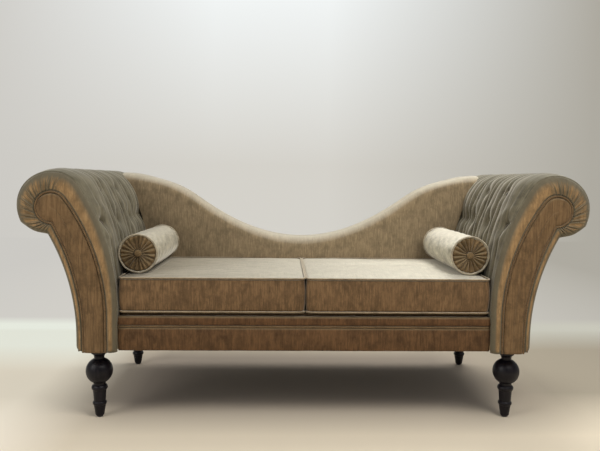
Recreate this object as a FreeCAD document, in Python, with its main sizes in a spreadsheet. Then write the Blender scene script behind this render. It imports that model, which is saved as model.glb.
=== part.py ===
import FreeCAD, Part
import math
import os
import Sketcher

# A two-seat recamier with scroll arms, a serpentine back, loose cushions and bolsters.
# Millimetres. The origin is on the floor under the middle. +X runs to the right arm as
# seen from the front, the front faces -Y, and +Z is up.

SIZES = {
    # Whole piece
    "overall_width": 1840,
    "overall_depth": 715,
    "base_height": 236,
    "arm_width": 307,
    "seat_height": 481,
    "back_depth": 138,
    # Gaps between neighbouring pieces
    "fit_gap": 0.3,
    "cut_overshoot": 1,
    "cushion_gap": 2.5,
    # Timber
    "board_thickness": 22,
    "rail_height": 95,
    "plate_thickness": 3,
    "plate_side": 58,
    "block_side": 60,
    "block_height": 40,
    "stretcher_width": 28,
    "stretcher_height": 61,
    # Scroll arm
    "scroll_radius": 106,
    "scroll_height": 706,
    "arm_crown": 12,
    "arm_foot_width": 132,
    "arm_flare_height": 340,
    "band_flare_height": 380,
    "facing_flare_height": 350,
    "outer_flare_height": 290,
    "notch_drop": 86,
    "notch_offset": 16,
    "lip_drop": 45,
    "arm_padding": 40,
    "outer_panel_thickness": 6,
    "lining_thickness": 3,
    "arm_rail_width": 22,
    "roll_rail_width": 60,
    # Arm front
    "facing_thickness": 18,
    "band_thickness": 15,
    "facing_head_radius": 46.5,
    "facing_inner_margin": 39,
    "facing_outer_margin": 36,
    "facing_lean": 9.1,
    "welt_radius": 3.4,
    # Back
    "back_valley_height": 563,
    "back_peak_rise": 117,
    "back_peak_side_offset": 180,
    "back_hump_radius": 420,
    "back_cap": 40,
    "back_board_width": 90,
    "back_front_round": 42,
    "back_rear_round": 15,
    "back_panel_inset": 16,
    "upright_width": 45,
    "upright_lap": 60,
    # Seat front and deck
    "border_setback": 6,
    "border_top_clearance": 12,
    "border_upper_height": 35,
    "border_round": 8,
    "deck_thickness": 24,
    "dust_cover_thickness": 1.2,
    # Springs
    "spring_wire": 3.8,
    "springs_per_seat": 4,
    "spring_half_width": 26,
    "spring_bends": 24,
    "clip_sheet": 1.5,
    "clip_width": 34,
    # Cushions
    "cushion_thickness": 117,
    "cushion_front_setback": 19.5,
    "cushion_corner": 22,
    "cushion_welt_radius": 3.2,
    "cushion_bevel": 7,
    "zip_length": 460,
    "zip_groove_height": 18,
    "zip_groove_depth": 9,
    "zip_tape_thickness": 1.5,
    "zip_slider_length": 14,
    "zip_slider_thickness": 4,
    # Bolsters
    "bolster_radius": 67.5,
    "bolster_length": 430,
    "bolster_setback": 47,
    "bolster_welt_radius": 3.2,
    "bolster_cap_thickness": 7,
    "bolster_button_radius": 13,
    # Arm buttons
    "button_radius": 11,
    "button_thickness": 6,
    "button_depth": 16,
    # Legs
    "front_leg_side_inset": 57,
    "front_leg_setback": 70,
    "rear_leg_side_inset": 45,
    "rear_leg_setback": 45,
    "leg_top_radius": 25.6,
    "leg_neck_radius": 16.6,
    "leg_ball_radius": 44,
    "leg_collar_radius": 20,
    "leg_ring_radius": 26.5,
    "leg_shaft_radius": 22,
    "leg_ankle_radius": 19.2,
    "leg_bead_radius": 23,
    "leg_foot_radius": 14.4,
    "leg_bead_round": 7.7,
    "leg_ring_round": 11,
    "leg_flare_round": 14.7,
    "leg_foot_margin": 1,
    "bolt_radius": 4,
    "bolt_grip": 26,
    "glide_radius": 9.5,
    "glide_thickness": 3,
    "glide_pin_radius": 2,
    "glide_pin_length": 14,
}

# Heights of the turned leg's details, from the floor up
LEG_HEIGHTS = {
    "foot_edge_height": 8,
    "ankle_height": 38,
    "bead_bottom_height": 41,
    "bead_top_height": 55,
    "shaft_top_height": 92,
    "ring_top_height": 111,
    "ball_bottom_height": 118,
    "belly_height": 156.5,
    "ball_top_height": 199,
    "neck_height": 205,
    "flare_height": 217,
}

# Where the tufting buttons sit: distance behind the arm front, and rise over the scroll centre
BUTTONS = ("front_low", "middle_low", "rear_low", "front_high", "rear_high")
BUTTON_PLACES = {
    "front_low_setback": 57,
    "front_low_rise": -51,
    "middle_low_setback": 230,
    "middle_low_rise": -51,
    "rear_low_setback": 400,
    "rear_low_rise": -46,
    "front_high_setback": 155,
    "front_high_rise": 59,
    "rear_high_setback": 350,
    "rear_high_rise": 59,
}


class Size:
    """A length that knows both its value and the expression that drives it."""

    def __init__(self, text, value):
        self.text = text
        self.value = value

    def __add__(self, other):
        other = as_size(other)
        return Size(f"({self.text} + {other.text})", self.value + other.value)

    def __sub__(self, other):
        other = as_size(other)
        return Size(f"({self.text} - {other.text})", self.value - other.value)

    def __mul__(self, other):
        other = as_size(other)
        return Size(f"({self.text} * {other.text})", self.value * other.value)

    def __truediv__(self, other):
        other = as_size(other)
        return Size(f"({self.text} / {other.text})", self.value / other.value)

    def __neg__(self):
        return Size(f"(0 - {self.text})", -self.value)

    def __radd__(self, other):
        return as_size(other) + self

    def __rsub__(self, other):
        return as_size(other) - self

    def __rmul__(self, other):
        return as_size(other) * self


def as_size(value):
    """Turns a plain number into a Size."""
    if isinstance(value, Size):
        return value
    return Size(f"{value:.9g}" if value >= 0 else f"(0 - {-value:.9g})", float(value))


def root(size):
    """Square root of a Size."""
    return Size(f"sqrt({size.text})", math.sqrt(size.value))


def square(size):
    """Square of a Size."""
    return Size(f"({size.text})^2", size.value ** 2)


document = FreeCAD.newDocument("recamier")
sheet = document.addObject("Spreadsheet::Sheet", "sizes")
places = document.addObject("App::VarSet", "places")


class Names:
    """Holds the sizes under their own names."""


ALL_SIZES = {**SIZES, **LEG_HEIGHTS, **BUTTON_PLACES}
s = Names()
for row, (alias, number) in enumerate(ALL_SIZES.items(), start=1):
    sheet.set(f"A{row}", alias)
    sheet.set(f"B{row}", str(number))
    sheet.setAlias(f"B{row}", alias)
    setattr(s, alias, Size(f"sizes.{alias}", float(number)))
document.recompute()


def named(name, size):
    """Keeps a worked-out place or length under a name of its own."""
    places.addProperty("App::PropertyFloat", name)
    places.setExpression(name, size.text)
    return Size(f"places.{name}", size.value)


def bind(thing, path, size):
    """Ties one property of an object to the sheet."""
    thing.setExpression(path, as_size(size).text)


def place(thing, x=0, y=0, z=0):
    """Puts an object at a point that follows the sheet."""
    bind(thing, "Placement.Base.x", x)
    bind(thing, "Placement.Base.y", y)
    bind(thing, "Placement.Base.z", z)
    return thing


def box(name, low, high):
    """A block of timber or padding between two corners."""
    block = document.addObject("Part::Box", name)
    bind(block, "Length", high[0] - low[0])
    bind(block, "Width", high[1] - low[1])
    bind(block, "Height", high[2] - low[2])
    return place(block, *low)


def rod(name, radius, length, base, axis="z"):
    """A round bar that starts at base and runs along one axis."""
    bar = document.addObject("Part::Cylinder", name)
    bind(bar, "Radius", radius)
    bind(bar, "Height", length)
    turns = {"z": ((0, 0, 1), 0), "y": ((1, 0, 0), -90), "x": ((0, 1, 0), 90)}
    direction, angle = turns[axis]
    bar.Placement.Rotation = FreeCAD.Rotation(FreeCAD.Vector(*direction), angle)
    return place(bar, *base)


def group(name, members):
    """Several separate solids that share one node."""
    compound = document.addObject("Part::Compound", name)
    compound.Links = members
    return compound


def cut(name, base, tool):
    """One object with another taken out of it."""
    result = document.addObject("Part::Cut", name)
    result.Base = base
    result.Tool = tool
    return result


def fused(name, members):
    """Members joined into one solid."""
    result = document.addObject("Part::MultiFuse", name)
    result.Shapes = members
    result.Refine = True
    return result


def mirrored(name, source):
    """The same piece for the left end."""
    copy = document.addObject("Part::Mirroring", name)
    copy.Source = source
    copy.Normal = (1, 0, 0)
    copy.Base = (0, 0, 0)
    return copy


def line(u, v):
    """A straight stretch to a point."""
    return ("line", as_size(u), as_size(v))


def arc(u, v, radius, side):
    """A round stretch to a point, with its centre to the left or right of the way."""
    return ("arc", as_size(u), as_size(v), as_size(radius), side)


def arc_geometry(start, end, radius, side):
    """The shorter arc between two points, and whether it runs from start to end."""
    chord = end - start
    half = chord.Length / 2
    height = math.sqrt(max(radius * radius - half * half, 0))
    normal = FreeCAD.Vector(-chord.y, chord.x, 0).normalize()
    sign = 1 if side == "left" else -1
    centre = (start + end) / 2 + normal * height * sign
    circle = Part.Circle(centre, FreeCAD.Vector(0, 0, 1), radius)
    first, last = (start, end) if side == "left" else (end, start)
    angles = [math.atan2(point.y - centre.y, point.x - centre.x) for point in (first, last)]
    if angles[1] < angles[0]:
        angles[1] += 2 * math.pi
    return Part.ArcOfCircle(circle, angles[0], angles[1])


def draw(sketch, start, stretches, closed=True):
    """Draws an outline whose corners and radii all follow the sheet."""
    corners = [tuple(as_size(value) for value in start)]
    corners += [(stretch[1], stretch[2]) for stretch in stretches]
    if closed:
        corners[-1] = corners[0]
    points = [FreeCAD.Vector(u.value, v.value, 0) for u, v in corners]
    geometry, ends, constraints, driven = [], [], [], []
    for number, stretch in enumerate(stretches):
        before, after = points[number], points[number + 1]
        if stretch[0] == "line":
            geometry.append(Part.LineSegment(before, after))
            ends.append((1, 2))
            continue
        geometry.append(arc_geometry(before, after, stretch[3].value, stretch[4]))
        ends.append((1, 2) if stretch[4] == "left" else (2, 1))
        driven.append((len(constraints), stretch[3]))
        constraints.append(Sketcher.Constraint("Radius", number, stretch[3].value))
    count = len(stretches)
    for number in range(count if closed else count - 1):
        following = (number + 1) % count
        constraints.append(Sketcher.Constraint(
            "Coincident", number, ends[number][1], following, ends[following][0]))
    anchors = [(number, ends[number][0]) for number in range(count)]
    if not closed:
        anchors.append((count - 1, ends[-1][1]))
    for (number, end), corner in zip(anchors, corners):
        for kind, size in zip(("DistanceX", "DistanceY"), corner):
            driven.append((len(constraints), size))
            constraints.append(Sketcher.Constraint(kind, -1, 1, number, end, size.value))
    sketch.addGeometry(geometry)
    sketch.addConstraint(constraints)
    for number, size in driven:
        sketch.setExpression(f"Constraints[{number}]", size.text)


def sketch_on(body, name, plane, offset=0):
    """A sketch on one of a body's own origin planes, moved along the plane's normal."""
    sketch = body.newObject("Sketcher::SketchObject", name)
    origin_planes = {feature.Role: feature for feature in body.Origin.OriginFeatures}
    sketch.AttachmentSupport = [(origin_planes[plane], "")]
    sketch.MapMode = "FlatFace"
    bind(sketch, "AttachmentOffset.Base.z", offset)
    return sketch


def slab(name, start, stretches, front, depth, hole=None):
    """An upright shape drawn from the front and carried back from its front face."""
    body = document.addObject("PartDesign::Body", name)
    sketch = sketch_on(body, name + "_outline", "XZ_Plane", -front)
    draw(sketch, start, stretches)
    pad = body.newObject("PartDesign::Pad", name + "_pad")
    pad.Profile = sketch
    bind(pad, "Length", depth)
    pad.Reversed = True
    if hole:
        hole_sketch = sketch_on(body, name + "_hole_outline", "XZ_Plane", -front)
        draw(hole_sketch, *hole)
        pocket = body.newObject("PartDesign::Pocket", name + "_hole")
        pocket.Profile = hole_sketch
        bind(pocket, "Length", depth)
    return body


def edges_where(shape, test):
    """Names of a shape's edges whose ends and middle all pass a test."""
    names = []
    for number, edge in enumerate(shape.Edges, start=1):
        middle = edge.valueAt((edge.FirstParameter + edge.LastParameter) / 2)
        checked = [vertex.Point for vertex in edge.Vertexes] + [middle]
        if all(test(point) for point in checked):
            names.append(f"Edge{number}")
    return names


def dress(body, kind, name, size, test):
    """Rounds or bevels the edges of a body's last feature that pass a test."""
    document.recompute([body])
    base = body.Tip
    feature = body.newObject(f"PartDesign::{kind}", name)
    feature.Base = (base, edges_where(base.Shape, test))
    bind(feature, "Radius" if kind == "Fillet" else "Size", size)
    return feature


def near(value, target):
    """Whether a coordinate lies on a plane."""
    return abs(value - target.value) < 0.01


def drawn_path(name, start, stretches, upright=True, level=0, closed=False):
    """A path for a cord, drawn in an upright or a level plane."""
    path = document.addObject("Sketcher::SketchObject", name)
    if upright:
        path.Placement.Rotation = FreeCAD.Rotation(FreeCAD.Vector(1, 0, 0), 90)
    bind(path, "Placement.Base.y" if upright else "Placement.Base.z", level)
    draw(path, start, stretches, closed)
    return path


def cord(name, path, radius):
    """A round cord or wire that follows a path."""
    section = document.addObject("Sketcher::SketchObject", name + "_section")
    section.AttachmentSupport = [(path, "Edge1")]
    section.MapMode = "NormalToEdge"
    section.addGeometry(Part.Circle(FreeCAD.Vector(0, 0, 0), FreeCAD.Vector(0, 0, 1), radius.value))
    section.addConstraint(Sketcher.Constraint("Coincident", 0, 3, -1, 1))
    constraint = section.addConstraint(Sketcher.Constraint("Radius", 0, radius.value))
    section.setExpression(f"Constraints[{constraint}]", radius.text)
    sweep = document.addObject("Part::Sweep", name)
    sweep.Sections = [section]
    sweep.Spine = (path, [])
    sweep.Solid = True
    return sweep


def row_along_x(name, source, first_x, spacing, count):
    """The same piece repeated at an even spacing, as one node of separate solids."""
    copies = []
    for number in range(count):
        copy = document.addObject("App::Link", f"{name}_{number + 1}")
        copy.LinkedObject = source
        copy.LinkTransform = False
        bind(copy, "Placement.Base.x", first_x + number * spacing)
        copies.append(copy)
    return copies


# Main planes and centres, worked out from the sheet
front_face = named("front_face", -s.overall_depth / 2)
rear_face = named("rear_face", s.overall_depth / 2)
board_front = named("board_front", front_face + s.facing_thickness)
board_back = named("board_back", board_front + s.board_thickness)
rail_back = named("rail_back", board_back + s.board_thickness)
back_board_rear = named("back_board_rear", rear_face - s.outer_panel_thickness)
back_board_front = named("back_board_front", back_board_rear - s.board_thickness)
rear_rail_front = named("rear_rail_front", back_board_front - s.board_thickness)
back_front = named("back_front", rear_face - s.back_depth)
back_peak_height = named("back_peak_height", s.scroll_height + s.back_peak_rise)
back_peak_offset = named("back_peak_offset", s.overall_width / 2 - s.back_peak_side_offset)
seat_side = named("seat_side", s.overall_width / 2 - s.arm_width)
arm_outside = named("arm_outside", seat_side + s.arm_foot_width)
timber_outside = named("timber_outside", arm_outside - s.outer_panel_thickness - s.fit_gap)
timber_bottom = named("timber_bottom", s.base_height + s.plate_thickness)
rail_top = named("rail_top", timber_bottom + s.rail_height)
scroll_x = named("scroll_x", s.overall_width / 2 - s.scroll_radius)
roll_radius = named("roll_radius", s.scroll_radius + s.arm_crown)
roll_x = named("roll_x", scroll_x - s.arm_crown)
notch_x = named("notch_x", scroll_x + s.notch_offset)
notch_height = named("notch_height", s.scroll_height - s.notch_drop)
cushion_bottom = named("cushion_bottom", s.seat_height - s.cushion_thickness)
cushion_rear = named("cushion_rear", back_front - s.cushion_gap)
cushion_front = named("cushion_front", front_face + s.cushion_front_setback)
border_front = named("border_front", cushion_front + s.border_setback)
border_top = named("border_top", cushion_bottom - s.border_top_clearance)
border_seam = named("border_seam", border_top - s.border_upper_height)
deck_top = named("deck_top", cushion_bottom - s.fit_gap)
deck_bottom = named("deck_bottom", deck_top - s.deck_thickness)
spring_spacing = named("spring_spacing", (seat_side - s.spring_half_width) / s.springs_per_seat)


def sweep_radius(name, across, up, head):
    """Radius of the arc that leaves upright and meets a head circle smoothly."""
    return named(name, (square(across) + square(up) - square(head)) / (2 * (across - head)))


class ArmOutline:
    """One closed outline of the arm: upright foot, flared sides and a round head."""

    def __init__(self, name, inner, inner_flare, head_x, head, outer, bottom):
        self.inner, self.outer, self.bottom = inner, outer, bottom
        self.inner_flare, self.head_x, self.head = inner_flare, head_x, head
        across = head_x - inner
        up = s.scroll_height - inner_flare
        self.flare_radius = sweep_radius(name + "_flare", across, up, head)
        reach = self.flare_radius - head
        share = head / reach
        self.touch_x = named(name + "_touch_x", head_x - (self.flare_radius - across) * share)
        self.touch_z = named(name + "_touch_z", s.scroll_height + up * share)
        self.name = name

    def head_over(self, side="left"):
        """The head, over its top to the place where the inner side leaves it."""
        top = s.scroll_height + self.head
        return [
            arc(self.head_x, top, self.head, side),
            arc(self.touch_x, self.touch_z, self.head, side),
            arc(self.inner, self.inner_flare, self.flare_radius, side),
        ]

    def rising(self, corner_x, corner_z, radius=None):
        """The outer side, upright at first and then flared out to a corner."""
        across = corner_x - self.outer
        up = corner_z - s.outer_flare_height
        radius = radius or (square(across) + square(up)) / (2 * across)
        return [
            line(self.outer, s.outer_flare_height),
            arc(corner_x, corner_z, radius, "right"),
        ]

    def meeting(self, rise_radius):
        """Where an outer side of a given radius runs into the head circle."""
        across = self.head_x - self.outer - rise_radius
        up = s.scroll_height - s.outer_flare_height
        apart = named(self.name + "_apart", root(square(across) + square(up)))
        along = named(self.name + "_along", (square(rise_radius) - square(self.head)
                                             + square(apart)) / (2 * apart))
        aside = named(self.name + "_aside", root(square(rise_radius) - square(along)))
        x = self.outer + rise_radius + (along * across - aside * up) / apart
        z = s.outer_flare_height + (along * up + aside * across) / apart
        return named(self.name + "_notch_x", x), named(self.name + "_notch_z", z)

    def with_lip(self):
        """The padded outline, whose head overhangs its outer side."""
        lip_x = self.head_x + root(square(self.head) - square(s.lip_drop))
        lip = [line(lip_x, s.scroll_height - s.lip_drop)]
        level = arc(self.head_x + self.head, s.scroll_height, self.head, "left")
        path = self.rising(notch_x, notch_height) + lip + [level] + self.head_over()
        path += [line(self.inner, self.bottom), line(self.outer, self.bottom)]
        return (self.outer, self.bottom), path

    def notch_on_head(self):
        """The point of the head circle that faces the notch."""
        across = notch_x - self.head_x
        down = s.scroll_height - notch_height
        length = root(square(across) + square(down))
        return self.head_x + across * (self.head / length), s.scroll_height - down * (self.head / length)

    def plain(self, corner, radius=None):
        """The outline whose outer side runs straight into the head circle."""
        level = arc(self.head_x + self.head, s.scroll_height, self.head, "left")
        path = self.rising(*corner, radius) + [level] + self.head_over()
        path += [line(self.inner, self.bottom), line(self.outer, self.bottom)]
        return (self.outer, self.bottom), path


def leg(name, x, y):
    """A turned leg with a bore for its bolt above and for its glide below."""
    body = document.addObject("PartDesign::Body", name)
    sketch = sketch_on(body, name + "_profile", "XZ_Plane")
    bolt_bore = s.bolt_radius + s.fit_gap
    pin_bore = s.glide_pin_radius + s.fit_gap
    foot = s.glide_thickness
    profile = [
        line(s.glide_radius + s.leg_foot_margin, foot),
        arc(s.leg_foot_radius, s.foot_edge_height, s.foot_edge_height, "left"),
        line(s.leg_ankle_radius, s.ankle_height),
        line(s.leg_ankle_radius, s.bead_bottom_height),
        arc(s.leg_bead_radius, (s.bead_bottom_height + s.bead_top_height) / 2,
            s.leg_bead_round, "left"),
        arc(s.leg_ankle_radius, s.bead_top_height, s.leg_bead_round, "left"),
        line(s.leg_shaft_radius, s.shaft_top_height),
        arc(s.leg_ring_radius, (s.shaft_top_height + s.ring_top_height) / 2,
            s.leg_ring_round, "left"),
        arc(s.leg_collar_radius, s.ring_top_height, s.leg_ring_round, "left"),
        line(s.leg_collar_radius, s.ball_bottom_height),
        arc(s.leg_ball_radius, s.belly_height, s.leg_ball_radius, "left"),
        arc(s.leg_neck_radius, s.ball_top_height, s.leg_ball_radius, "left"),
        line(s.leg_neck_radius, s.neck_height),
        arc(s.leg_top_radius, s.flare_height, s.leg_flare_round, "right"),
        line(s.leg_top_radius, s.base_height),
        line(bolt_bore, s.base_height),
        line(bolt_bore, s.base_height - s.bolt_grip),
        line(0, s.base_height - s.bolt_grip),
        line(0, foot + s.glide_pin_length + s.fit_gap),
        line(pin_bore, foot + s.glide_pin_length + s.fit_gap),
        line(pin_bore, foot),
    ]
    draw(sketch, (pin_bore, foot), profile)
    turned = body.newObject("PartDesign::Revolution", name + "_turned")
    turned.Profile = sketch
    turned.ReferenceAxis = (sketch, ["V_Axis"])
    turned.Angle = 360
    return place(body, x, y, 0)


# Legs, their bolts, plates and glides
front_leg_x = named("front_leg_x", arm_outside - s.front_leg_side_inset)
front_leg_y = named("front_leg_y", front_face + s.front_leg_setback)
rear_leg_x = named("rear_leg_x", arm_outside - s.rear_leg_side_inset)
rear_leg_y = named("rear_leg_y", rear_face - s.rear_leg_setback)
LEG_SPOTS = {
    "front_left": (-front_leg_x, front_leg_y),
    "front_right": (front_leg_x, front_leg_y),
    "rear_left": (-rear_leg_x, rear_leg_y),
    "rear_right": (rear_leg_x, rear_leg_y),
}
pieces = {}
bolts, bores, plates, glides = [], [], [], []
for corner, (x, y) in LEG_SPOTS.items():
    pieces[corner + "_leg"] = leg(corner + "_leg", x, y)
    bolt_start = s.base_height - s.bolt_grip + s.fit_gap
    bolt_length = s.bolt_grip + s.plate_thickness + s.bolt_grip
    bolts.append(rod(corner + "_bolt", s.bolt_radius, bolt_length, (x, y, bolt_start)))
    bores.append(rod(corner + "_bore", s.bolt_radius + s.fit_gap, bolt_length + s.cut_overshoot,
                     (x, y, bolt_start)))
    half = s.plate_side / 2
    plates.append(box(corner + "_plate", (x - half, y - half, s.base_height),
                      (x + half, y + half, timber_bottom)))
    disc = rod(corner + "_glide_disc", s.glide_radius, s.glide_thickness, (x, y, 0))
    pin = rod(corner + "_glide_pin", s.glide_pin_radius,
              s.glide_thickness + s.glide_pin_length, (x, y, 0))
    glides.append(fused(corner + "_glide", [disc, pin]))
all_bores = group("all_bores", bores)
pieces["leg_bolts"] = group("leg_bolts", bolts)
pieces["leg_plates"] = cut("leg_plates", group("plate_blanks", plates), all_bores)
pieces["foot_glides"] = group("foot_glides", glides)

# Seat frame: two long rails, two side rails, a middle stretcher and four corner blocks
pieces["front_seat_rail"] = box("front_seat_rail", (-timber_outside, board_back, timber_bottom),
                                (timber_outside, rail_back, rail_top))
rear_rail_blank = box("rear_rail_blank", (-timber_outside, rear_rail_front, timber_bottom),
                      (timber_outside, back_board_front, rail_top))
pieces["rear_seat_rail"] = cut("rear_seat_rail", rear_rail_blank, all_bores)
side_rail_inside = timber_outside - s.board_thickness
right_side_rail = box("right_side_rail", (side_rail_inside, rail_back, timber_bottom),
                      (timber_outside, rear_rail_front, rail_top))
pieces["side_rails"] = group("side_rails", [
    right_side_rail, mirrored("left_side_rail", right_side_rail)])
pieces["seat_stretcher"] = box(
    "seat_stretcher", (-s.stretcher_width / 2, rail_back, timber_bottom),
    (s.stretcher_width / 2, rear_rail_front, timber_bottom + s.stretcher_height))
front_block = box("front_right_block", (side_rail_inside - s.block_side, rail_back, timber_bottom),
                  (side_rail_inside, rail_back + s.block_side, timber_bottom + s.block_height))
rear_block = box(
    "rear_right_block",
    (side_rail_inside - s.block_side, rear_rail_front - s.block_side, timber_bottom),
    (side_rail_inside, rear_rail_front, timber_bottom + s.block_height))
blocks = [front_block, rear_block, mirrored("front_left_block", front_block),
          mirrored("rear_left_block", rear_block)]
pieces["corner_blocks"] = cut("corner_blocks", group("block_blanks", blocks), all_bores)

# Arm outlines, from the padded outside to the timber inside
pad_outline = ArmOutline("pad", seat_side, s.arm_flare_height, roll_x, roll_radius,
                         arm_outside, rail_top + s.fit_gap)
band_outline = ArmOutline("band", seat_side, s.band_flare_height, scroll_x, s.scroll_radius,
                          arm_outside, s.base_height)
facing_inner = seat_side + s.facing_inner_margin
facing_outer = arm_outside - s.facing_outer_margin
facing_outline = ArmOutline("facing", facing_inner, s.facing_flare_height, scroll_x,
                            s.facing_head_radius, facing_outer, s.base_height)
seam = 2 * s.welt_radius + 2 * s.fit_gap
hole_outline = ArmOutline("hole", facing_inner - seam, s.facing_flare_height, scroll_x,
                          s.facing_head_radius + seam, facing_outer + seam, s.base_height)
timber_inset = s.arm_padding + s.fit_gap
timber_outline = ArmOutline("timber", seat_side + timber_inset, s.arm_flare_height, roll_x,
                            roll_radius - timber_inset, timber_outside, timber_bottom)
lining_face = ArmOutline("lining_face", seat_side + timber_inset, s.arm_flare_height, roll_x,
                         roll_radius - timber_inset, arm_outside, rail_top)
lining_inset = timber_inset + s.lining_thickness
lining_back = ArmOutline("lining_back", seat_side + lining_inset, s.arm_flare_height, roll_x,
                         roll_radius - lining_inset, arm_outside, rail_top)
core_outline = ArmOutline("core", seat_side + s.arm_padding, s.arm_flare_height, roll_x,
                          roll_radius - s.arm_padding, arm_outside, rail_top + s.fit_gap)


def arm_board(name, front):
    """A plywood arm end with the scroll's shape."""
    return slab(name, *timber_outline.plain(timber_outline.notch_on_head()), front, s.board_thickness)


def strip_outline(face, back, start_z):
    """A strip that follows the inner side and the head between two outlines."""
    face_notch, back_notch = face.notch_on_head(), back.notch_on_head()
    path = [line(*face_notch), arc(face.head_x + face.head, s.scroll_height, face.head, "left")]
    path += face.head_over() + [line(face.inner, start_z), line(back.inner, start_z)]
    path += [line(back.inner, back.inner_flare),
             arc(back.touch_x, back.touch_z, back.flare_radius, "right"),
             arc(back.head_x, s.scroll_height + back.head, back.head, "right"),
             arc(back.head_x + back.head, s.scroll_height, back.head, "right"),
             arc(*back_notch, back.head, "right")]
    return back_notch, path


def pad_section():
    """The padding: the full outline outside, and the core's outline inside."""
    _, outside = pad_outline.with_lip()
    outside = outside[2:-1]
    inside_notch = core_outline.notch_on_head()
    back = core_outline
    path = [line(notch_x, notch_height)] + outside + [
        line(back.inner, back.bottom),
        line(back.inner, back.inner_flare),
        arc(back.touch_x, back.touch_z, back.flare_radius, "right"),
        arc(back.head_x, s.scroll_height + back.head, back.head, "right"),
        arc(back.head_x + back.head, s.scroll_height, back.head, "right"),
        arc(*inside_notch, back.head, "right")]
    return inside_notch, path


# Arm frame
pieces["right_arm_front_board"] = arm_board("right_arm_front_board", board_front)
pieces["right_arm_rear_board"] = arm_board("right_arm_rear_board", back_board_front)
pieces["right_arm_lining"] = slab(
    "right_arm_lining", *strip_outline(lining_face, lining_back, rail_top + s.fit_gap),
    board_back, back_board_front - board_back)
roll_half = s.roll_rail_width / 2
roll_rail_top = s.scroll_height + root(square(lining_back.head - s.fit_gap) - square(roll_half))
tuck_x = lining_back.inner + s.fit_gap
arm_rails = [
    box("right_roll_rail", (roll_x - roll_half, board_back, roll_rail_top - s.arm_rail_width),
        (roll_x + roll_half, back_board_front, roll_rail_top)),
    box("right_tuck_rail", (tuck_x, rail_back, rail_top),
        (tuck_x + s.arm_rail_width, rear_rail_front, rail_top + s.arm_rail_width)),
    box("right_tack_rail",
        (notch_x - 2 * s.arm_rail_width, board_back, notch_height - s.arm_rail_width),
        (notch_x - s.arm_rail_width, back_board_front, notch_height + s.arm_rail_width)),
]
pieces["right_arm_rails"] = group("right_arm_rails", arm_rails)

# Arm padding with a pocket for each tufting button
arm_blank = slab("right_arm_blank", *pad_section(), board_front, back_board_rear - board_front)
button_wells, buttons = [], []
for place_name in BUTTONS:
    along = front_face + getattr(s, place_name + "_setback")
    above = s.scroll_height + getattr(s, place_name + "_rise")
    rise = above - s.arm_flare_height
    run = root(square(pad_outline.flare_radius) - square(rise))
    face_x = seat_side + pad_outline.flare_radius - run
    rise_share = rise / pad_outline.flare_radius
    run_share = run / pad_outline.flare_radius
    lean = 90 + math.degrees(math.asin(rise_share.value))
    overshoot = s.button_thickness
    button_top = s.button_depth - s.button_thickness - s.fit_gap
    for kind, radius, lift, length, bag in (
            ("well", s.button_radius + s.fit_gap, overshoot, s.button_depth + overshoot,
             button_wells),
            ("button", s.button_radius, -button_top, s.button_thickness, buttons)):
        disc = rod(f"right_{place_name}_{kind}", radius, length, (0, 0, 0))
        disc.Placement.Rotation = FreeCAD.Rotation(FreeCAD.Vector(0, 1, 0), lean)
        disc.setExpression("Placement.Rotation.Angle", f"90 deg + asin({rise_share.text})")
        place(disc, face_x - lift * run_share, along, above + lift * rise_share)
        bag.append(disc)
pieces["right_arm_buttons"] = group("right_arm_buttons", buttons)

# Outside arm panel, from the floor side up to the notch under the roll
panel_top = core_outline.notch_on_head()
panel_inner = ArmOutline("panel_inner", seat_side, s.arm_flare_height, roll_x, roll_radius,
                         arm_outside - s.outer_panel_thickness, s.base_height)
panel_outer = ArmOutline("panel_outer", seat_side, s.arm_flare_height, roll_x, roll_radius,
                         arm_outside, s.base_height)
inner_rise = panel_inner.rising(*panel_top)
panel_path = panel_outer.rising(notch_x, notch_height) + [
    line(*panel_top),
    arc(panel_inner.outer, s.outer_flare_height, inner_rise[1][3], "left"),
    line(panel_inner.outer, s.base_height),
    line(arm_outside, s.base_height)]
pieces["right_arm_outer_panel"] = slab(
    "right_arm_outer_panel", (arm_outside, s.base_height), panel_path,
    board_front, back_board_rear - board_front)

# Gathered band, facing and piping on the arm front
half_seam = seam / 2
rise_across = scroll_x - s.facing_lean - facing_outer
rise_up = s.scroll_height - s.facing_head_radius - s.outer_flare_height
welt_rise = named("welt_rise", (square(rise_across) + square(rise_up)) / (2 * rise_across))
welt_line = ArmOutline("welt_line", facing_inner - half_seam, s.facing_flare_height, scroll_x,
                       s.facing_head_radius + half_seam, facing_outer + half_seam, s.base_height)
hole_rise = welt_rise - half_seam
facing_rise = welt_rise + half_seam
pieces["right_arm_front_band"] = slab(
    "right_arm_front_band", *band_outline.with_lip(), board_front - s.band_thickness,
    s.band_thickness, hole_outline.plain(hole_outline.meeting(hole_rise), hole_rise))
pieces["right_arm_facing"] = slab(
    "right_arm_facing", *facing_outline.plain(facing_outline.meeting(facing_rise), facing_rise),
    front_face, s.facing_thickness)
welt_y = front_face + s.welt_radius
welt_end_x, welt_end_z = welt_line.meeting(welt_rise)
outer_run_top = welt_end_z - 3 * s.welt_radius
outer_run_x = welt_line.outer + welt_rise - root(
    square(welt_rise) - square(outer_run_top - s.outer_flare_height))
head_run = [arc(welt_line.head_x + welt_line.head, s.scroll_height, welt_line.head, "left")]
head_run += welt_line.head_over() + [line(welt_line.inner, s.base_height)]
pieces["right_arm_welt"] = group("right_arm_welt", [
    cord("right_outer_welt", drawn_path(
        "right_outer_welt_path", (welt_line.outer, s.base_height),
        welt_line.rising(outer_run_x, outer_run_top), level=welt_y), s.welt_radius),
    cord("right_head_welt", drawn_path(
        "right_head_welt_path", (welt_end_x, welt_end_z), head_run, level=welt_y), s.welt_radius)])

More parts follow.
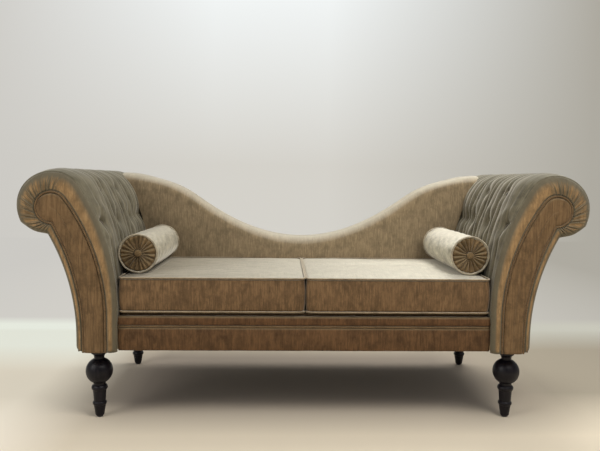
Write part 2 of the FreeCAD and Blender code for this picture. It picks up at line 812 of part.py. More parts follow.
# Serpentine back
class BackOutline:
    """The S-shaped top of the back, lowered by an inset, over a straight foot."""

    def __init__(self, name, inset, bottom):
        drop = back_peak_height - s.back_valley_height
        span = named(name + "_span", (square(back_peak_offset) + square(drop)) / (2 * drop))
        valley = span - s.back_hump_radius
        self.valley_radius = named(name + "_valley", valley + inset)
        self.hump_radius = named(name + "_hump", s.back_hump_radius - inset)
        self.middle_z = s.back_valley_height - inset
        self.peak_z = back_peak_height - inset
        share = self.valley_radius / span
        self.join_x = named(name + "_join_x", back_peak_offset * share)
        centre_z = s.back_valley_height + valley
        self.join_z = named(name + "_join_z", centre_z - (span - drop) * share)
        self.centre_z = centre_z
        self.bottom = bottom

    def top(self):
        """From the right peak over the dip to the left peak."""
        return [
            arc(self.join_x, self.join_z, self.hump_radius, "left"),
            arc(0, self.middle_z, self.valley_radius, "right"),
            arc(-self.join_x, self.join_z, self.valley_radius, "right"),
            arc(-back_peak_offset, self.peak_z, self.hump_radius, "left"),
        ]

    def closed(self):
        """The whole outline down to its foot."""
        path = self.top() + [line(-back_peak_offset, self.bottom),
                             line(back_peak_offset, self.bottom),
                             line(back_peak_offset, self.peak_z)]
        return (back_peak_offset, self.peak_z), path

    def height_at(self, x):
        """Height of the dip's arc above a point near the middle."""
        return self.centre_z - root(square(self.valley_radius) - square(x))


back_bottom = deck_bottom
cover = BackOutline("cover", as_size(0), back_bottom)
core = BackOutline("back_core", s.back_cap, back_bottom - s.cut_overshoot)
rear_panel = BackOutline("rear_panel", s.back_panel_inset, s.base_height)


def serpentine(name, top_inset, foot_inset, front, depth):
    """A board of even width that follows the back's S-shaped top."""
    top = BackOutline(name + "_top", top_inset, back_bottom)
    foot = BackOutline(name + "_foot", foot_inset, back_bottom)
    path = top.top() + [
        line(-back_peak_offset, foot.peak_z),
        arc(-foot.join_x, foot.join_z, foot.hump_radius, "right"),
        arc(0, foot.middle_z, foot.valley_radius, "left"),
        arc(foot.join_x, foot.join_z, foot.valley_radius, "left"),
        arc(back_peak_offset, foot.peak_z, foot.hump_radius, "right"),
        line(back_peak_offset, top.peak_z)]
    return foot, slab(name, (back_peak_offset, top.peak_z), path, front, depth)


board_foot, board_blank = serpentine(
    "back_board_blank", s.back_cap + s.fit_gap, s.back_cap + s.back_board_width,
    back_board_front, s.board_thickness)
_, board_room = serpentine(
    "back_board_room", s.back_cap, s.back_cap + s.back_board_width + s.fit_gap,
    back_board_front - s.fit_gap, s.board_thickness + 2 * s.fit_gap)
pieces["right_arm_pad"] = cut("right_arm_pad", arm_blank,
                              group("right_arm_rooms", button_wells + [board_room]))


def arm_keepout(name, clearance):
    """The room that both arms take up, right through the back."""
    outline = ArmOutline(name, seat_side - clearance, s.arm_flare_height, roll_x,
                         roll_radius + clearance, arm_outside, s.base_height)
    right = slab(name + "_right", *outline.plain((notch_x, notch_height)),
                 back_front - s.back_depth, 2 * s.back_depth)
    return group(name, [right, mirrored(name + "_left", right)])


def timber_keepout():
    """The room that both rear arm boards take up in the back frame."""
    inset = s.arm_padding
    outline = ArmOutline("timber_keepout", seat_side + inset, s.arm_flare_height, roll_x,
                         roll_radius - inset, timber_outside, timber_bottom)
    right = slab("timber_keepout_right", *outline.plain(outline.notch_on_head()),
                 back_board_front - s.board_thickness, 3 * s.board_thickness)
    return group("timber_keepouts", [right, mirrored("timber_keepout_left", right)])


pieces["back_board"] = cut("back_board", board_blank, timber_keepout())
uprights = []
for number in (-2, -1, 0, 1, 2):
    x = 2 * number * spring_spacing
    distance = 2 * abs(number) * spring_spacing
    if abs(number) < 2:
        foot = board_foot.height_at(distance)
    else:
        foot = board_foot.peak_z - board_foot.hump_radius + root(
            square(board_foot.hump_radius) - square(back_peak_offset - distance))
    half = s.upright_width / 2
    uprights.append(box(f"upright_{number + 3}", (x - half, rear_rail_front, rail_top),
                        (x + half, back_board_front, foot + s.upright_lap)))
pieces["back_uprights"] = group("back_uprights", uprights)

lining_front = rear_rail_front - s.lining_thickness
lining = BackOutline("back_lining", s.back_cap + s.fit_gap, back_bottom)
pieces["back_lining"] = cut("back_lining", slab("back_lining_blank", *lining.closed(), lining_front,
                                                s.lining_thickness), arm_keepout("lining_room", s.fit_gap))

back_pad_body = slab("back_pad_blank", *cover.closed(), back_front, back_board_rear - back_front)
dress(back_pad_body, "Fillet", "back_front_edge", s.back_front_round,
      lambda p: near(p.y, back_front) and p.z > s.back_valley_height.value - s.cut_overshoot.value)
dress(back_pad_body, "Fillet", "back_rear_edge", s.back_rear_round,
      lambda p: near(p.y, back_board_rear) and p.z > s.back_valley_height.value - s.cut_overshoot.value)
frame_sketch = sketch_on(back_pad_body, "back_frame_room_outline", "XZ_Plane", -back_board_rear)
draw(frame_sketch, *core.closed())
frame_room = back_pad_body.newObject("PartDesign::Pocket", "back_frame_room")
frame_room.Profile = frame_sketch
bind(frame_room, "Length", back_board_rear - lining_front)
frame_room.Reversed = True
pieces["back_pad"] = cut("back_pad", back_pad_body, arm_keepout("pad_room", s.fit_gap))

rear_arm = ArmOutline("rear_arm", seat_side, s.arm_flare_height, roll_x,
                      roll_radius - s.back_panel_inset, arm_outside, s.base_height)
rear_right = slab("rear_panel_right", *rear_arm.plain((notch_x, notch_height)),
                  back_board_rear, s.outer_panel_thickness)
pieces["back_outer_panel"] = fused("back_outer_panel", [
    slab("rear_panel_middle", *rear_panel.closed(), back_board_rear, s.outer_panel_thickness),
    rear_right, mirrored("rear_panel_left", rear_right)])

# Front border: two padded bands with a piping cord in the seam between them
border_side = seat_side - s.fit_gap
seam_half = s.welt_radius + s.fit_gap


def border_band(name, low, high, rounded):
    """A padded band across the seat front."""
    body = slab(name, (border_side, low), [
        line(border_side, high), line(-border_side, high), line(-border_side, low),
        line(border_side, low)], border_front, board_back - border_front)
    for edge in rounded:
        dress(body, "Fillet", f"{name}_round_{len(body.Group)}", s.border_round,
              lambda p: near(p.y, border_front) and near(p.z, edge))
    return body


pieces["front_border_upper"] = border_band(
    "front_border_upper", border_seam + seam_half, border_top, [border_top])
pieces["front_border_lower"] = border_band(
    "front_border_lower", s.base_height, border_seam - seam_half, [s.base_height])
pieces["front_border_welt"] = rod(
    "front_border_welt", s.welt_radius, 2 * border_side,
    (-border_side, border_front + s.welt_radius, border_seam), "x")

# Deck, springs, clips and dust cover
pieces["seat_deck"] = box("seat_deck", (-border_side, board_back, deck_bottom),
                          (border_side, back_front - s.fit_gap, deck_top))
wire_z = rail_top + s.clip_sheet + s.spring_wire / 2
spring_front = board_back + s.spring_wire
spring_rear = rear_rail_front + s.board_thickness - s.spring_wire
bend_pitch = named("bend_pitch", (spring_rear - spring_front) / s.spring_bends)
bend_count = int(s.spring_bends.value)


def zigzag(pitch, half_width, bends, front, height):
    """The spring's centre line from above: straight runs joined by half-round bends."""
    turn = pitch / 2
    reach = half_width - turn
    y = front + turn
    start, end = FreeCAD.Vector(-reach, y, height), FreeCAD.Vector(reach, y, height)
    edges = [Part.LineSegment(start, end).toShape()]
    for number in range(1, bends):
        side = 1 if number % 2 else -1
        outermost = FreeCAD.Vector(side * half_width, y + turn, height)
        y += pitch
        after = FreeCAD.Vector(side * reach, y, height)
        edges.append(Part.Arc(end, outermost, after).toShape())
        end = FreeCAD.Vector(-side * reach, y, height)
        edges.append(Part.LineSegment(after, end).toShape())
    return Part.Wire(edges)


spring_line = document.addObject("Part::Feature", "spring_line")
spring_line.Shape = zigzag(bend_pitch.value, s.spring_half_width.value, bend_count,
                           spring_front.value, wire_z.value)
spring = cord("spring_1", spring_line, s.spring_wire / 2)
spring_count = 2 * int(s.springs_per_seat.value)
first_spring_x = -spring_spacing * (2 * s.springs_per_seat - 1) / 2
pieces["seat_springs"] = group("seat_springs", row_along_x(
    "spring_copy", spring, first_spring_x, spring_spacing, spring_count))


def clip(name, outline):
    """A bent steel clip, seen from the side, that holds one end of a spring."""
    body = document.addObject("PartDesign::Body", name)
    sketch = sketch_on(body, name + "_outline", "YZ_Plane", -s.clip_width / 2)
    draw(sketch, outline[0], [line(*corner) for corner in outline[1:] + outline[:1]])
    pad = body.newObject("PartDesign::Pad", name + "_pad")
    pad.Profile = sketch
    bind(pad, "Length", s.clip_width)
    return body


clip_floor = rail_top + s.clip_sheet
clip_top = clip_floor + s.spring_wire
front_wall = board_back + s.fit_gap
rear_wall = back_board_front - s.clip_sheet - s.fit_gap
front_clip = clip("front_clip", [
    (front_wall, rail_top), (rail_back, rail_top), (rail_back, clip_floor),
    (front_wall + s.clip_sheet, clip_floor), (front_wall + s.clip_sheet, clip_top),
    (front_wall, clip_top)])
rear_clip = clip("rear_clip", [
    (rear_rail_front, rail_top), (rear_wall + s.clip_sheet, rail_top),
    (rear_wall + s.clip_sheet, clip_top), (rear_wall, clip_top), (rear_wall, clip_floor),
    (rear_rail_front, clip_floor)])
pieces["spring_clips"] = group("spring_clips", [
    copy for end_name, source in (("front_clip_copy", front_clip), ("rear_clip_copy", rear_clip))
    for copy in row_along_x(end_name, source, first_spring_x, spring_spacing, spring_count)])
cover_blank = box("cover_blank", (-timber_outside, board_back, timber_bottom - s.dust_cover_thickness),
                  (timber_outside, back_board_rear - s.fit_gap, timber_bottom))
plate_rooms = []
for corner, (x, y) in LEG_SPOTS.items():
    half = s.plate_side / 2 + s.fit_gap
    plate_rooms.append(box(corner + "_plate_room", (x - half, y - half, s.base_height - s.cut_overshoot),
                           (x + half, y + half, timber_bottom + s.cut_overshoot)))
pieces["dust_cover"] = cut("dust_cover", cover_blank, group("plate_rooms", plate_rooms))


def rounded_loop(low, high, corner):
    """A rectangle with round corners, from the lower end of its right side."""
    start = (high[0], low[1] + corner)
    return start, [
        line(high[0], high[1] - corner), arc(high[0] - corner, high[1], corner, "left"),
        line(low[0] + corner, high[1]), arc(low[0], high[1] - corner, corner, "left"),
        line(low[0], low[1] + corner), arc(low[0] + corner, low[1], corner, "left"),
        line(high[0] - corner, low[1]), arc(high[0], low[1] + corner, corner, "left")]


# Seat cushions with piped edges and a zip in the rear boxing
welt_inset = s.cushion_bevel / 2 - (s.cushion_welt_radius + s.fit_gap) * math.sqrt(0.5)
proud = named("proud", s.cushion_welt_radius - welt_inset)
cushion_low = (s.fit_gap + proud, cushion_front + proud)
cushion_high = (seat_side - s.fit_gap - proud, cushion_rear - proud)
cushion_body = document.addObject("PartDesign::Body", "right_cushion_blank")
cushion_sketch = sketch_on(cushion_body, "right_cushion_outline", "XY_Plane", cushion_bottom + proud)
draw(cushion_sketch, *rounded_loop(cushion_low, cushion_high, s.cushion_corner))
cushion_pad = cushion_body.newObject("PartDesign::Pad", "right_cushion_pad")
cushion_pad.Profile = cushion_sketch
bind(cushion_pad, "Length", s.cushion_thickness - 2 * proud)
cushion_top = named("cushion_top", s.seat_height - proud)
cushion_floor = named("cushion_floor", cushion_bottom + proud)
dress(cushion_body, "Chamfer", "right_cushion_bevel", s.cushion_bevel,
      lambda p: near(p.z, cushion_top) or near(p.z, cushion_floor))
zip_middle_x = named("zip_middle_x", seat_side / 2)
zip_middle_z = named("zip_middle_z", cushion_bottom + s.cushion_thickness / 2)
zip_left = zip_middle_x - s.zip_length / 2
zip_right = zip_middle_x + s.zip_length / 2
groove_floor = cushion_high[1] - s.zip_groove_depth
groove = box("right_zip_groove", (zip_left, groove_floor, zip_middle_z - s.zip_groove_height / 2),
             (zip_right, cushion_high[1] + s.zip_groove_depth, zip_middle_z + s.zip_groove_height / 2))
pieces["right_seat_cushion"] = cut("right_seat_cushion", cushion_body, groove)
welt_low = tuple(value + welt_inset for value in cushion_low)
welt_high = tuple(value - welt_inset for value in cushion_high)
welt_corner = s.cushion_corner - welt_inset
welt_levels = {"top": cushion_top - welt_inset, "bottom": cushion_floor + welt_inset}
cushion_welts = []
for level_name, level in welt_levels.items():
    loop = rounded_loop(welt_low, welt_high, welt_corner)
    loop_path = drawn_path(f"right_{level_name}_welt_path", *loop, upright=False, level=level,
                           closed=True)
    cushion_welts.append(cord("right_cushion_welt_" + level_name, loop_path, s.cushion_welt_radius))
pieces["right_cushion_welts"] = group("right_cushion_welts", cushion_welts)
tape_half = s.zip_groove_height / 2 - s.fit_gap
pieces["right_cushion_zip"] = box(
    "right_cushion_zip", (zip_left + s.fit_gap, groove_floor, zip_middle_z - tape_half),
    (zip_right - s.fit_gap, groove_floor + s.zip_tape_thickness, zip_middle_z + tape_half))
slider_y = groove_floor + s.zip_tape_thickness + s.fit_gap
slider_half = s.zip_groove_height / 4
slider_head = box("right_zip_head", (zip_left + s.fit_gap, slider_y, zip_middle_z - slider_half),
                  (zip_left + s.fit_gap + s.zip_slider_length, slider_y + s.zip_slider_thickness,
                   zip_middle_z + slider_half))
slider_pull = box(
    "right_zip_pull", (zip_left + s.fit_gap + s.zip_slider_length, slider_y + s.zip_slider_thickness / 2,
                       zip_middle_z - slider_half / 2),
    (zip_left + s.fit_gap + 3 * s.zip_slider_length, slider_y + s.zip_slider_thickness,
     zip_middle_z + slider_half / 2))
pieces["right_zip_slider"] = fused("right_zip_slider", [slider_head, slider_pull])

# Bolsters: they lie on the cushions against the arms, parallel to them
bolster_z = named("bolster_z", s.seat_height + s.bolster_radius + s.fit_gap)
bolster_reach = pad_outline.flare_radius + s.bolster_radius + s.fit_gap
bolster_rise = bolster_z - s.arm_flare_height
bolster_x = named("bolster_x", seat_side + pad_outline.flare_radius - root(
    square(bolster_reach) - square(bolster_rise)))
bolster_rear = named("bolster_rear", back_front - s.bolster_setback)
bolster_front = named("bolster_front", bolster_rear - s.bolster_length)
bolster_inset = s.cushion_bevel / 2 - (s.bolster_welt_radius + s.fit_gap) * math.sqrt(0.5)
bolster_proud = s.bolster_welt_radius - bolster_inset
body_radius = s.bolster_radius - bolster_proud
body_start = bolster_front + bolster_proud
roll = rod("right_bolster_roll", body_radius, s.bolster_length - 2 * bolster_proud,
           (bolster_x, body_start, bolster_z), "y")
roll_bevelled = document.addObject("Part::Chamfer", "right_bolster_bevelled")
roll_bevelled.Base = roll
document.recompute()
roll_edges = [number for number, edge in enumerate(roll.Shape.Edges, start=1) if edge.Closed]
roll_bevelled.Edges = [(number, s.cushion_bevel.value, s.cushion_bevel.value)
                       for number in roll_edges]
cap_radius = body_radius - s.cushion_bevel - s.bolster_welt_radius / 2
cap_depth = s.bolster_cap_thickness
well = s.bolster_button_radius + s.fit_gap
recesses, caps, bolster_buttons, bolster_welts = [], [], [], []
for end_name, cap_y, welt_y, button_y in (
        ("front", body_start, body_start + bolster_inset, body_start),
        ("rear", body_start + s.bolster_length - 2 * bolster_proud - cap_depth,
         body_start + s.bolster_length - 2 * bolster_proud - bolster_inset,
         body_start + s.bolster_length - 2 * bolster_proud - cap_depth / 2)):
    centre = (bolster_x, cap_y, bolster_z)
    disc = rod(f"right_{end_name}_cap_disc", cap_radius, cap_depth, centre, "y")
    recesses.append(rod(f"right_{end_name}_cap_recess", cap_radius + s.fit_gap, cap_depth, centre, "y"))
    seat = (bolster_x, button_y, bolster_z)
    recess = rod(f"right_{end_name}_button_recess", well, cap_depth / 2, seat, "y")
    caps.append(cut(f"right_{end_name}_cap", disc, recess))
    bolster_buttons.append(rod(f"right_{end_name}_button", s.bolster_button_radius, cap_depth / 2,
                               seat, "y"))
    ring = document.addObject("Part::Torus", f"right_{end_name}_bolster_welt")
    bind(ring, "Radius1", body_radius - bolster_inset)
    bind(ring, "Radius2", s.bolster_welt_radius)
    ring.Placement.Rotation = FreeCAD.Rotation(FreeCAD.Vector(1, 0, 0), -90)
    bolster_welts.append(place(ring, bolster_x, welt_y, bolster_z))
pieces["right_bolster"] = cut("right_bolster", roll_bevelled, group("right_cap_recesses", recesses))
pieces["right_bolster_caps"] = group("right_bolster_caps", caps)
pieces["right_bolster_buttons"] = group("right_bolster_buttons", bolster_buttons)
pieces["right_bolster_welts"] = group("right_bolster_welts", bolster_welts)

# The left end is the right end mirrored
for name in [key for key in pieces if key.startswith("right_")]:
    left_name = name.replace("right_", "left_", 1)
    if left_name not in pieces:
        pieces[left_name] = mirrored(left_name + "_node", pieces[name])

document.recompute()
for item in document.Objects:
    if "Invalid" in item.State or "Error" in item.State:
        raise RuntimeError(f"{item.Name} did not rebuild: {item.State}")
for name, piece in pieces.items():
    piece.Label = name
    if piece.Shape.isNull() or not piece.Shape.isValid():
        raise RuntimeError(f"{name} has no valid shape")

os.makedirs("parts", exist_ok=True)
for name, piece in sorted(pieces.items()):
    piece.Shape.exportStep(os.path.join("parts", name + ".step"))
    extent = piece.Shape.BoundBox
    print(f"{name}: {len(piece.Shape.Solids)} solids, x {extent.XMin:.1f} to {extent.XMax:.1f}, "
          f"y {extent.YMin:.1f} to {extent.YMax:.1f}, z {extent.ZMin:.1f} to {extent.ZMax:.1f}, "
          f"volume {piece.Shape.Volume / 1000:.1f} cm3")
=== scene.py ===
import math
import bmesh
import bpy
import numpy as np
from mathutils import Matrix, Vector, noise


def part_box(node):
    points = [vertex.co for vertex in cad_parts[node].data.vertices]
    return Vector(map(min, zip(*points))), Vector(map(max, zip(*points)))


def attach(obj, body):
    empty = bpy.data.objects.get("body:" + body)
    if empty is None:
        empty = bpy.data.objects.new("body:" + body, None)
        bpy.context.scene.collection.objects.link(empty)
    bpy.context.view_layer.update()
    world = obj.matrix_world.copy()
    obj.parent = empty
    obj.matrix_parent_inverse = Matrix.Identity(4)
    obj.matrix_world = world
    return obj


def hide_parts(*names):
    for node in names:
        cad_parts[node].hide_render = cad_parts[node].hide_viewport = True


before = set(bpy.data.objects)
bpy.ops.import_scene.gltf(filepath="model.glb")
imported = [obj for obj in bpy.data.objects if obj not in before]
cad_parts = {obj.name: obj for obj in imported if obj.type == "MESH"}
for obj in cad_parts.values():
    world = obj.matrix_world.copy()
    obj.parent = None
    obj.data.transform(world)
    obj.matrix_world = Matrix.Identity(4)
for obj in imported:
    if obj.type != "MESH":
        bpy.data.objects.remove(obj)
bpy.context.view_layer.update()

# Camera: seated eye height, a hand's breadth left of the middle and turned slightly right.
# The picture was held a little askew, so the camera rolls by half a degree.
EYE = Vector((-0.074, -2.3425, 0.799))
TURN, TILT_DOWN, ROLL = math.radians(1.51), math.radians(4.15), math.radians(0.58)
ahead = Vector((math.sin(TURN) * math.cos(TILT_DOWN), math.cos(TURN) * math.cos(TILT_DOWN),
                -math.sin(TILT_DOWN)))
level_right = Vector((math.cos(TURN), -math.sin(TURN), 0))
level_up = level_right.cross(ahead)
right = level_right * math.cos(ROLL) + level_up * math.sin(ROLL)
up = level_up * math.cos(ROLL) - level_right * math.sin(ROLL)
camera_data = bpy.data.cameras.new("camera")
camera_data.sensor_width = 36
camera_data.lens = 37.18
camera = bpy.data.objects.new("camera", camera_data)
camera.matrix_world = Matrix.Translation(EYE) @ Matrix((right, up, -ahead)).transposed().to_4x4()
bpy.context.scene.collection.objects.link(camera)
bpy.context.scene.camera = camera


# Seat frame and arm boards: plywood ends and hardwood rails, sawn, glued and screwed, and
# left raw because the covers hide them. The long grain runs with each rail.
def add_node(tree, kind, links=(), **settings):
    """Adds a shader node, sets its properties or inputs, and links sockets into it."""
    node = tree.nodes.new("ShaderNode" + kind)
    for key, value in settings.items():
        if hasattr(node, key):
            setattr(node, key, value)
        else:
            node.inputs[key.replace("_", " ")].default_value = value
    for socket, source in dict(links).items():
        tree.links.new(source, node.inputs[socket])
    return node


def blank_material(name, **shader):
    """A new material with its main shader's plain sockets set."""
    material = bpy.data.materials.new(name)
    material.use_nodes = True
    surface = material.node_tree.nodes["Principled BSDF"]
    for key, value in shader.items():
        surface.inputs[key.replace("_", " ")].default_value = value
    return material, material.node_tree, surface


def stretched_noise(tree, stretch, detail=4, roughness=0.6):
    """Noise in the object's own space, stretched along an axis by its scale."""
    place = add_node(tree, "TexCoord")
    scaled = add_node(tree, "Mapping", {"Vector": place.outputs["Object"]}, Scale=stretch)
    return add_node(tree, "TexNoise", {"Vector": scaled.outputs["Vector"]},
                    Scale=1.0, Detail=detail, Roughness=roughness)


def ranged(tree, value, low, high, to_low=0.0, to_high=1.0):
    """A value spread from one range to another, held at both ends."""
    node = add_node(tree, "MapRange", {"Value": value}, From_Min=low, From_Max=high,
                    To_Min=to_low, To_Max=to_high)
    return node.outputs["Result"]


def blended(tree, factor, first, second, **settings):
    """A colour between two others, each a colour or a socket."""
    node = add_node(tree, "Mix", {0: factor}, data_type="RGBA", **settings)
    for socket, colour in ((node.inputs[6], first), (node.inputs[7], second)):
        if isinstance(colour, tuple):
            socket.default_value = (*colour, 1)
        else:
            tree.links.new(colour, socket)
    return node.outputs[2]


def grained(tree, surface, grain, low, high, first, second):
    """Colours a surface between two colours by the range of a noise."""
    share = ranged(tree, grain.outputs["Fac"], low, high)
    tree.links.new(blended(tree, share, first, second), surface.inputs["Base Color"])


def bumped(tree, surface, height, strength, distance, under=None):
    """Raises the surface by a height, over another bump where one is given."""
    node = add_node(tree, "Bump", {"Height": height}, Strength=strength, Distance=distance)
    if under is not None:
        tree.links.new(under, node.inputs["Normal"])
    tree.links.new(node.outputs["Normal"], surface.inputs["Normal"])
    return node.outputs["Normal"]


def raw_timber(name, light, dark, stretch):
    """Sawn timber with its grain along the axis that the stretch leaves long."""
    material, tree, surface = blank_material(name, Roughness=0.72)
    grain = stretched_noise(tree, stretch, detail=6)
    grained(tree, surface, grain, 0.35, 0.65, dark, light)
    bumped(tree, surface, grain.outputs["Fac"], 0.4, 0.0006)
    return material


def finish_nodes(material, *names):
    """Gives a material to nodes that show as they were built."""
    for name in names:
        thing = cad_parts[name]
        thing.data.materials.clear()
        thing.data.materials.append(material)
        for face in thing.data.polygons:
            face.material_index = 0


rail_wood = raw_timber("rail_wood", (0.56, 0.41, 0.24), (0.42, 0.28, 0.15), (4, 120, 120))
finish_nodes(rail_wood, "front_seat_rail", "rear_seat_rail", "back_board", "corner_blocks")
cross_wood = raw_timber("cross_wood", (0.58, 0.43, 0.26), (0.44, 0.3, 0.17), (120, 4, 120))
finish_nodes(cross_wood, "side_rails", "seat_stretcher", "left_arm_rails", "right_arm_rails")
post_wood = raw_timber("post_wood", (0.6, 0.46, 0.29), (0.47, 0.33, 0.2), (110, 110, 5))
finish_nodes(post_wood, "back_uprights", "left_arm_front_board", "right_arm_front_board",
             "left_arm_rear_board", "right_arm_rear_board")

# Linings: thin bent board tacked to the inside of the arm and back frames, so that the
# padding has something to lie on. It is brown hardboard with a fine mottled face.
lining, tree, surface = blank_material("lining_board", Roughness=0.8)
fibres = stretched_noise(tree, (260, 260, 260), detail=5)
grained(tree, surface, fibres, 0.3, 0.7, (0.2, 0.12, 0.06), (0.33, 0.21, 0.12))
bumped(tree, surface, fibres.outputs["Fac"], 0.3, 0.0004)
finish_nodes(lining, "left_arm_lining", "right_arm_lining", "back_lining")


# Springs and clips: serpentine wire stretched from the front rail to the rear one, each end
# held by a folded clip nailed to the rail's top. The wire is oiled, the clips are zinced.
def worn_metal(name, bright, dull, metallic, scratches):
    """Metal whose polish varies in fine scratches."""
    material, tree, surface = blank_material(name, Metallic=metallic)
    marks = stretched_noise(tree, scratches, detail=6)
    grained(tree, surface, marks, 0.3, 0.7, dull, bright)
    tree.links.new(ranged(tree, marks.outputs["Fac"], 0.2, 0.8, 0.5, 0.28),
                   surface.inputs["Roughness"])
    bumped(tree, surface, marks.outputs["Fac"], 0.15, 0.0002)
    return material


finish_nodes(worn_metal("spring_wire", (0.4, 0.4, 0.41), (0.2, 0.19, 0.19), 1.0, (300, 60, 300)),
             "seat_springs")
finish_nodes(worn_metal("zinc", (0.66, 0.66, 0.64), (0.42, 0.42, 0.42), 1.0, (180, 180, 180)),
             "spring_clips", "leg_plates", "leg_bolts")

# Legs: turned hardwood with a ball, a ring and a beaded ankle, stained black and lacquered.
# Each screws up into its plate on a hanger bolt, and a nail-on glide covers its foot.
ebonised, tree, surface = blank_material(
    "ebonised_wood", Coat_Weight=0.06, Coat_Roughness=0.35, Specular_IOR_Level=0.2)
grain = stretched_noise(tree, (160, 160, 9), detail=6)
grained(tree, surface, grain, 0.35, 0.7, (0.003, 0.0025, 0.004), (0.011, 0.008, 0.011))
tree.links.new(ranged(tree, grain.outputs["Fac"], 0.3, 0.7, 0.32, 0.46),
               surface.inputs["Roughness"])
turning = stretched_noise(tree, (2, 2, 900), detail=2)
bumped(tree, surface, turning.outputs["Fac"], 0.06, 0.0003,
       bumped(tree, surface, grain.outputs["Fac"], 0.1, 0.0003))
finish_nodes(ebonised, "front_left_leg", "front_right_leg", "rear_left_leg", "rear_right_leg")
glide, tree, surface = blank_material("glide_plastic", Specular_IOR_Level=0.4)
mould = stretched_noise(tree, (500, 500, 500), detail=3)
grained(tree, surface, mould, 0.0, 1.0, (0.03, 0.03, 0.032), (0.06, 0.06, 0.06))
tree.links.new(ranged(tree, mould.outputs["Fac"], 0.3, 0.7, 0.42, 0.6), surface.inputs["Roughness"])
finish_nodes(glide, "foot_glides")


# Dust cover: one piece of black non-woven cloth, cut to the frame and stapled under the
# rails. It sags a few millimetres between them and parts round the leg plates.
def new_piece(name, points, faces, material, body, slot, replaced, mirror=False):
    """Makes one piece from its points and faces, attaches it to its body and hides the nodes it stands for.
    """
    points = np.asarray(points, float)
    if mirror:
        points = points * (-1, 1, 1)
    mesh = bpy.data.meshes.new(name)
    mesh.from_pydata(points.tolist(), [], [list(map(int, face)) for face in faces])
    mesh.materials.append(material)
    work = bmesh.new()
    work.from_mesh(mesh)
    bmesh.ops.remove_doubles(work, verts=work.verts, dist=0.00002)
    bmesh.ops.recalc_face_normals(work, faces=work.faces)
    for face in work.faces:
        face.smooth = True
    work.to_mesh(mesh)
    work.free()
    thing = bpy.data.objects.new(name, mesh)
    bpy.context.scene.collection.objects.link(thing)
    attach(thing, body)
    if replaced:
        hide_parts(*replaced)
    return thing


def grid_faces(rows, columns, wrap_rows=False, wrap_columns=False):
    """The four-sided faces of a grid of points, closed into a tube or ring where asked."""
    numbers = np.arange(rows * columns).reshape(rows, columns)
    if wrap_rows:
        numbers = np.vstack([numbers, numbers[:1]])
    if wrap_columns:
        numbers = np.hstack([numbers, numbers[:, :1]])
    corners = (numbers[:-1, :-1], numbers[1:, :-1], numbers[1:, 1:], numbers[:-1, 1:])
    return np.stack([corner.ravel() for corner in corners], axis=1).tolist()


def tube_faces(rings, around):
    """A closed tube of rings with a flat face over each end."""
    ends = [list(range(around))[::-1], list(range((rings - 1) * around, rings * around))]
    return grid_faces(rings, around, wrap_columns=True) + ends


def as_tube(grid):
    """A grid's points, and its faces as a closed tube."""
    return grid.reshape(-1, 3), tube_faces(*grid.shape[:2])


def round_turns(count):
    """Angles at even steps once round a circle."""
    return np.linspace(0, 2 * math.pi, count, endpoint=False)


def eased(count):
    """Shares from 0 to 1 that lie closer together at both ends."""
    return (1 - np.cos(np.linspace(0, math.pi, count))) / 2


dust_cloth, tree, surface = blank_material("dust_cloth", Roughness=0.95, Sheen_Weight=0.2)
felted = stretched_noise(tree, (700, 700, 700), detail=4)
grained(tree, surface, felted, 0.0, 1.0, (0.012, 0.012, 0.013), (0.045, 0.044, 0.043))
bumped(tree, surface, felted.outputs["Fac"], 0.3, 0.0003)
dust_low, dust_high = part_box("dust_cover")
DUST_SAG, DUST_THICKNESS = 0.004, 0.0009
along = np.linspace(dust_low.y, dust_high.y, 44)
along_sag = np.sin(math.pi * np.linspace(0, 1, 44))
dust_rows = []
for share in np.linspace(0, 1, 90):
    x = dust_low.x + share * (dust_high.x - dust_low.x)
    sag = DUST_SAG * math.sin(math.pi * share) * along_sag
    top = np.column_stack([np.full(44, x), along, dust_high.z - sag])
    dust_rows.append(np.vstack([top, top[::-1] - (0, 0, DUST_THICKNESS)]))
dust_cover = new_piece("dust_cover_cloth", *as_tube(np.array(dust_rows)), dust_cloth, "frame",
                       "dust_cloth", ["dust_cover"])


# Velvet: one crushed cloth covers the whole piece. Its strié runs from top to bottom and over the seats from
# back to front; where the faces turn up it is painted pale and silvery, partly for the nap and partly as a
# painted highlight of the light from above.
def toned(colour, share):
    """A colour made lighter or darker by a share."""
    return tuple(min(1, value * share) for value in colour)


def product(tree, first, second):
    """The product of two values."""
    return add_node(tree, "Math", {0: first, 1: second}, operation="MULTIPLY").outputs[0]


def larger(tree, first, second):
    """The larger of two values."""
    return add_node(tree, "Math", {0: first, 1: second}, operation="MAXIMUM").outputs[0]


def spot_values(tree):
    """Where on an object a point lies, as separate values."""
    place = add_node(tree, "TexCoord")
    return add_node(tree, "SeparateXYZ", {"Vector": place.outputs["Object"]}).outputs


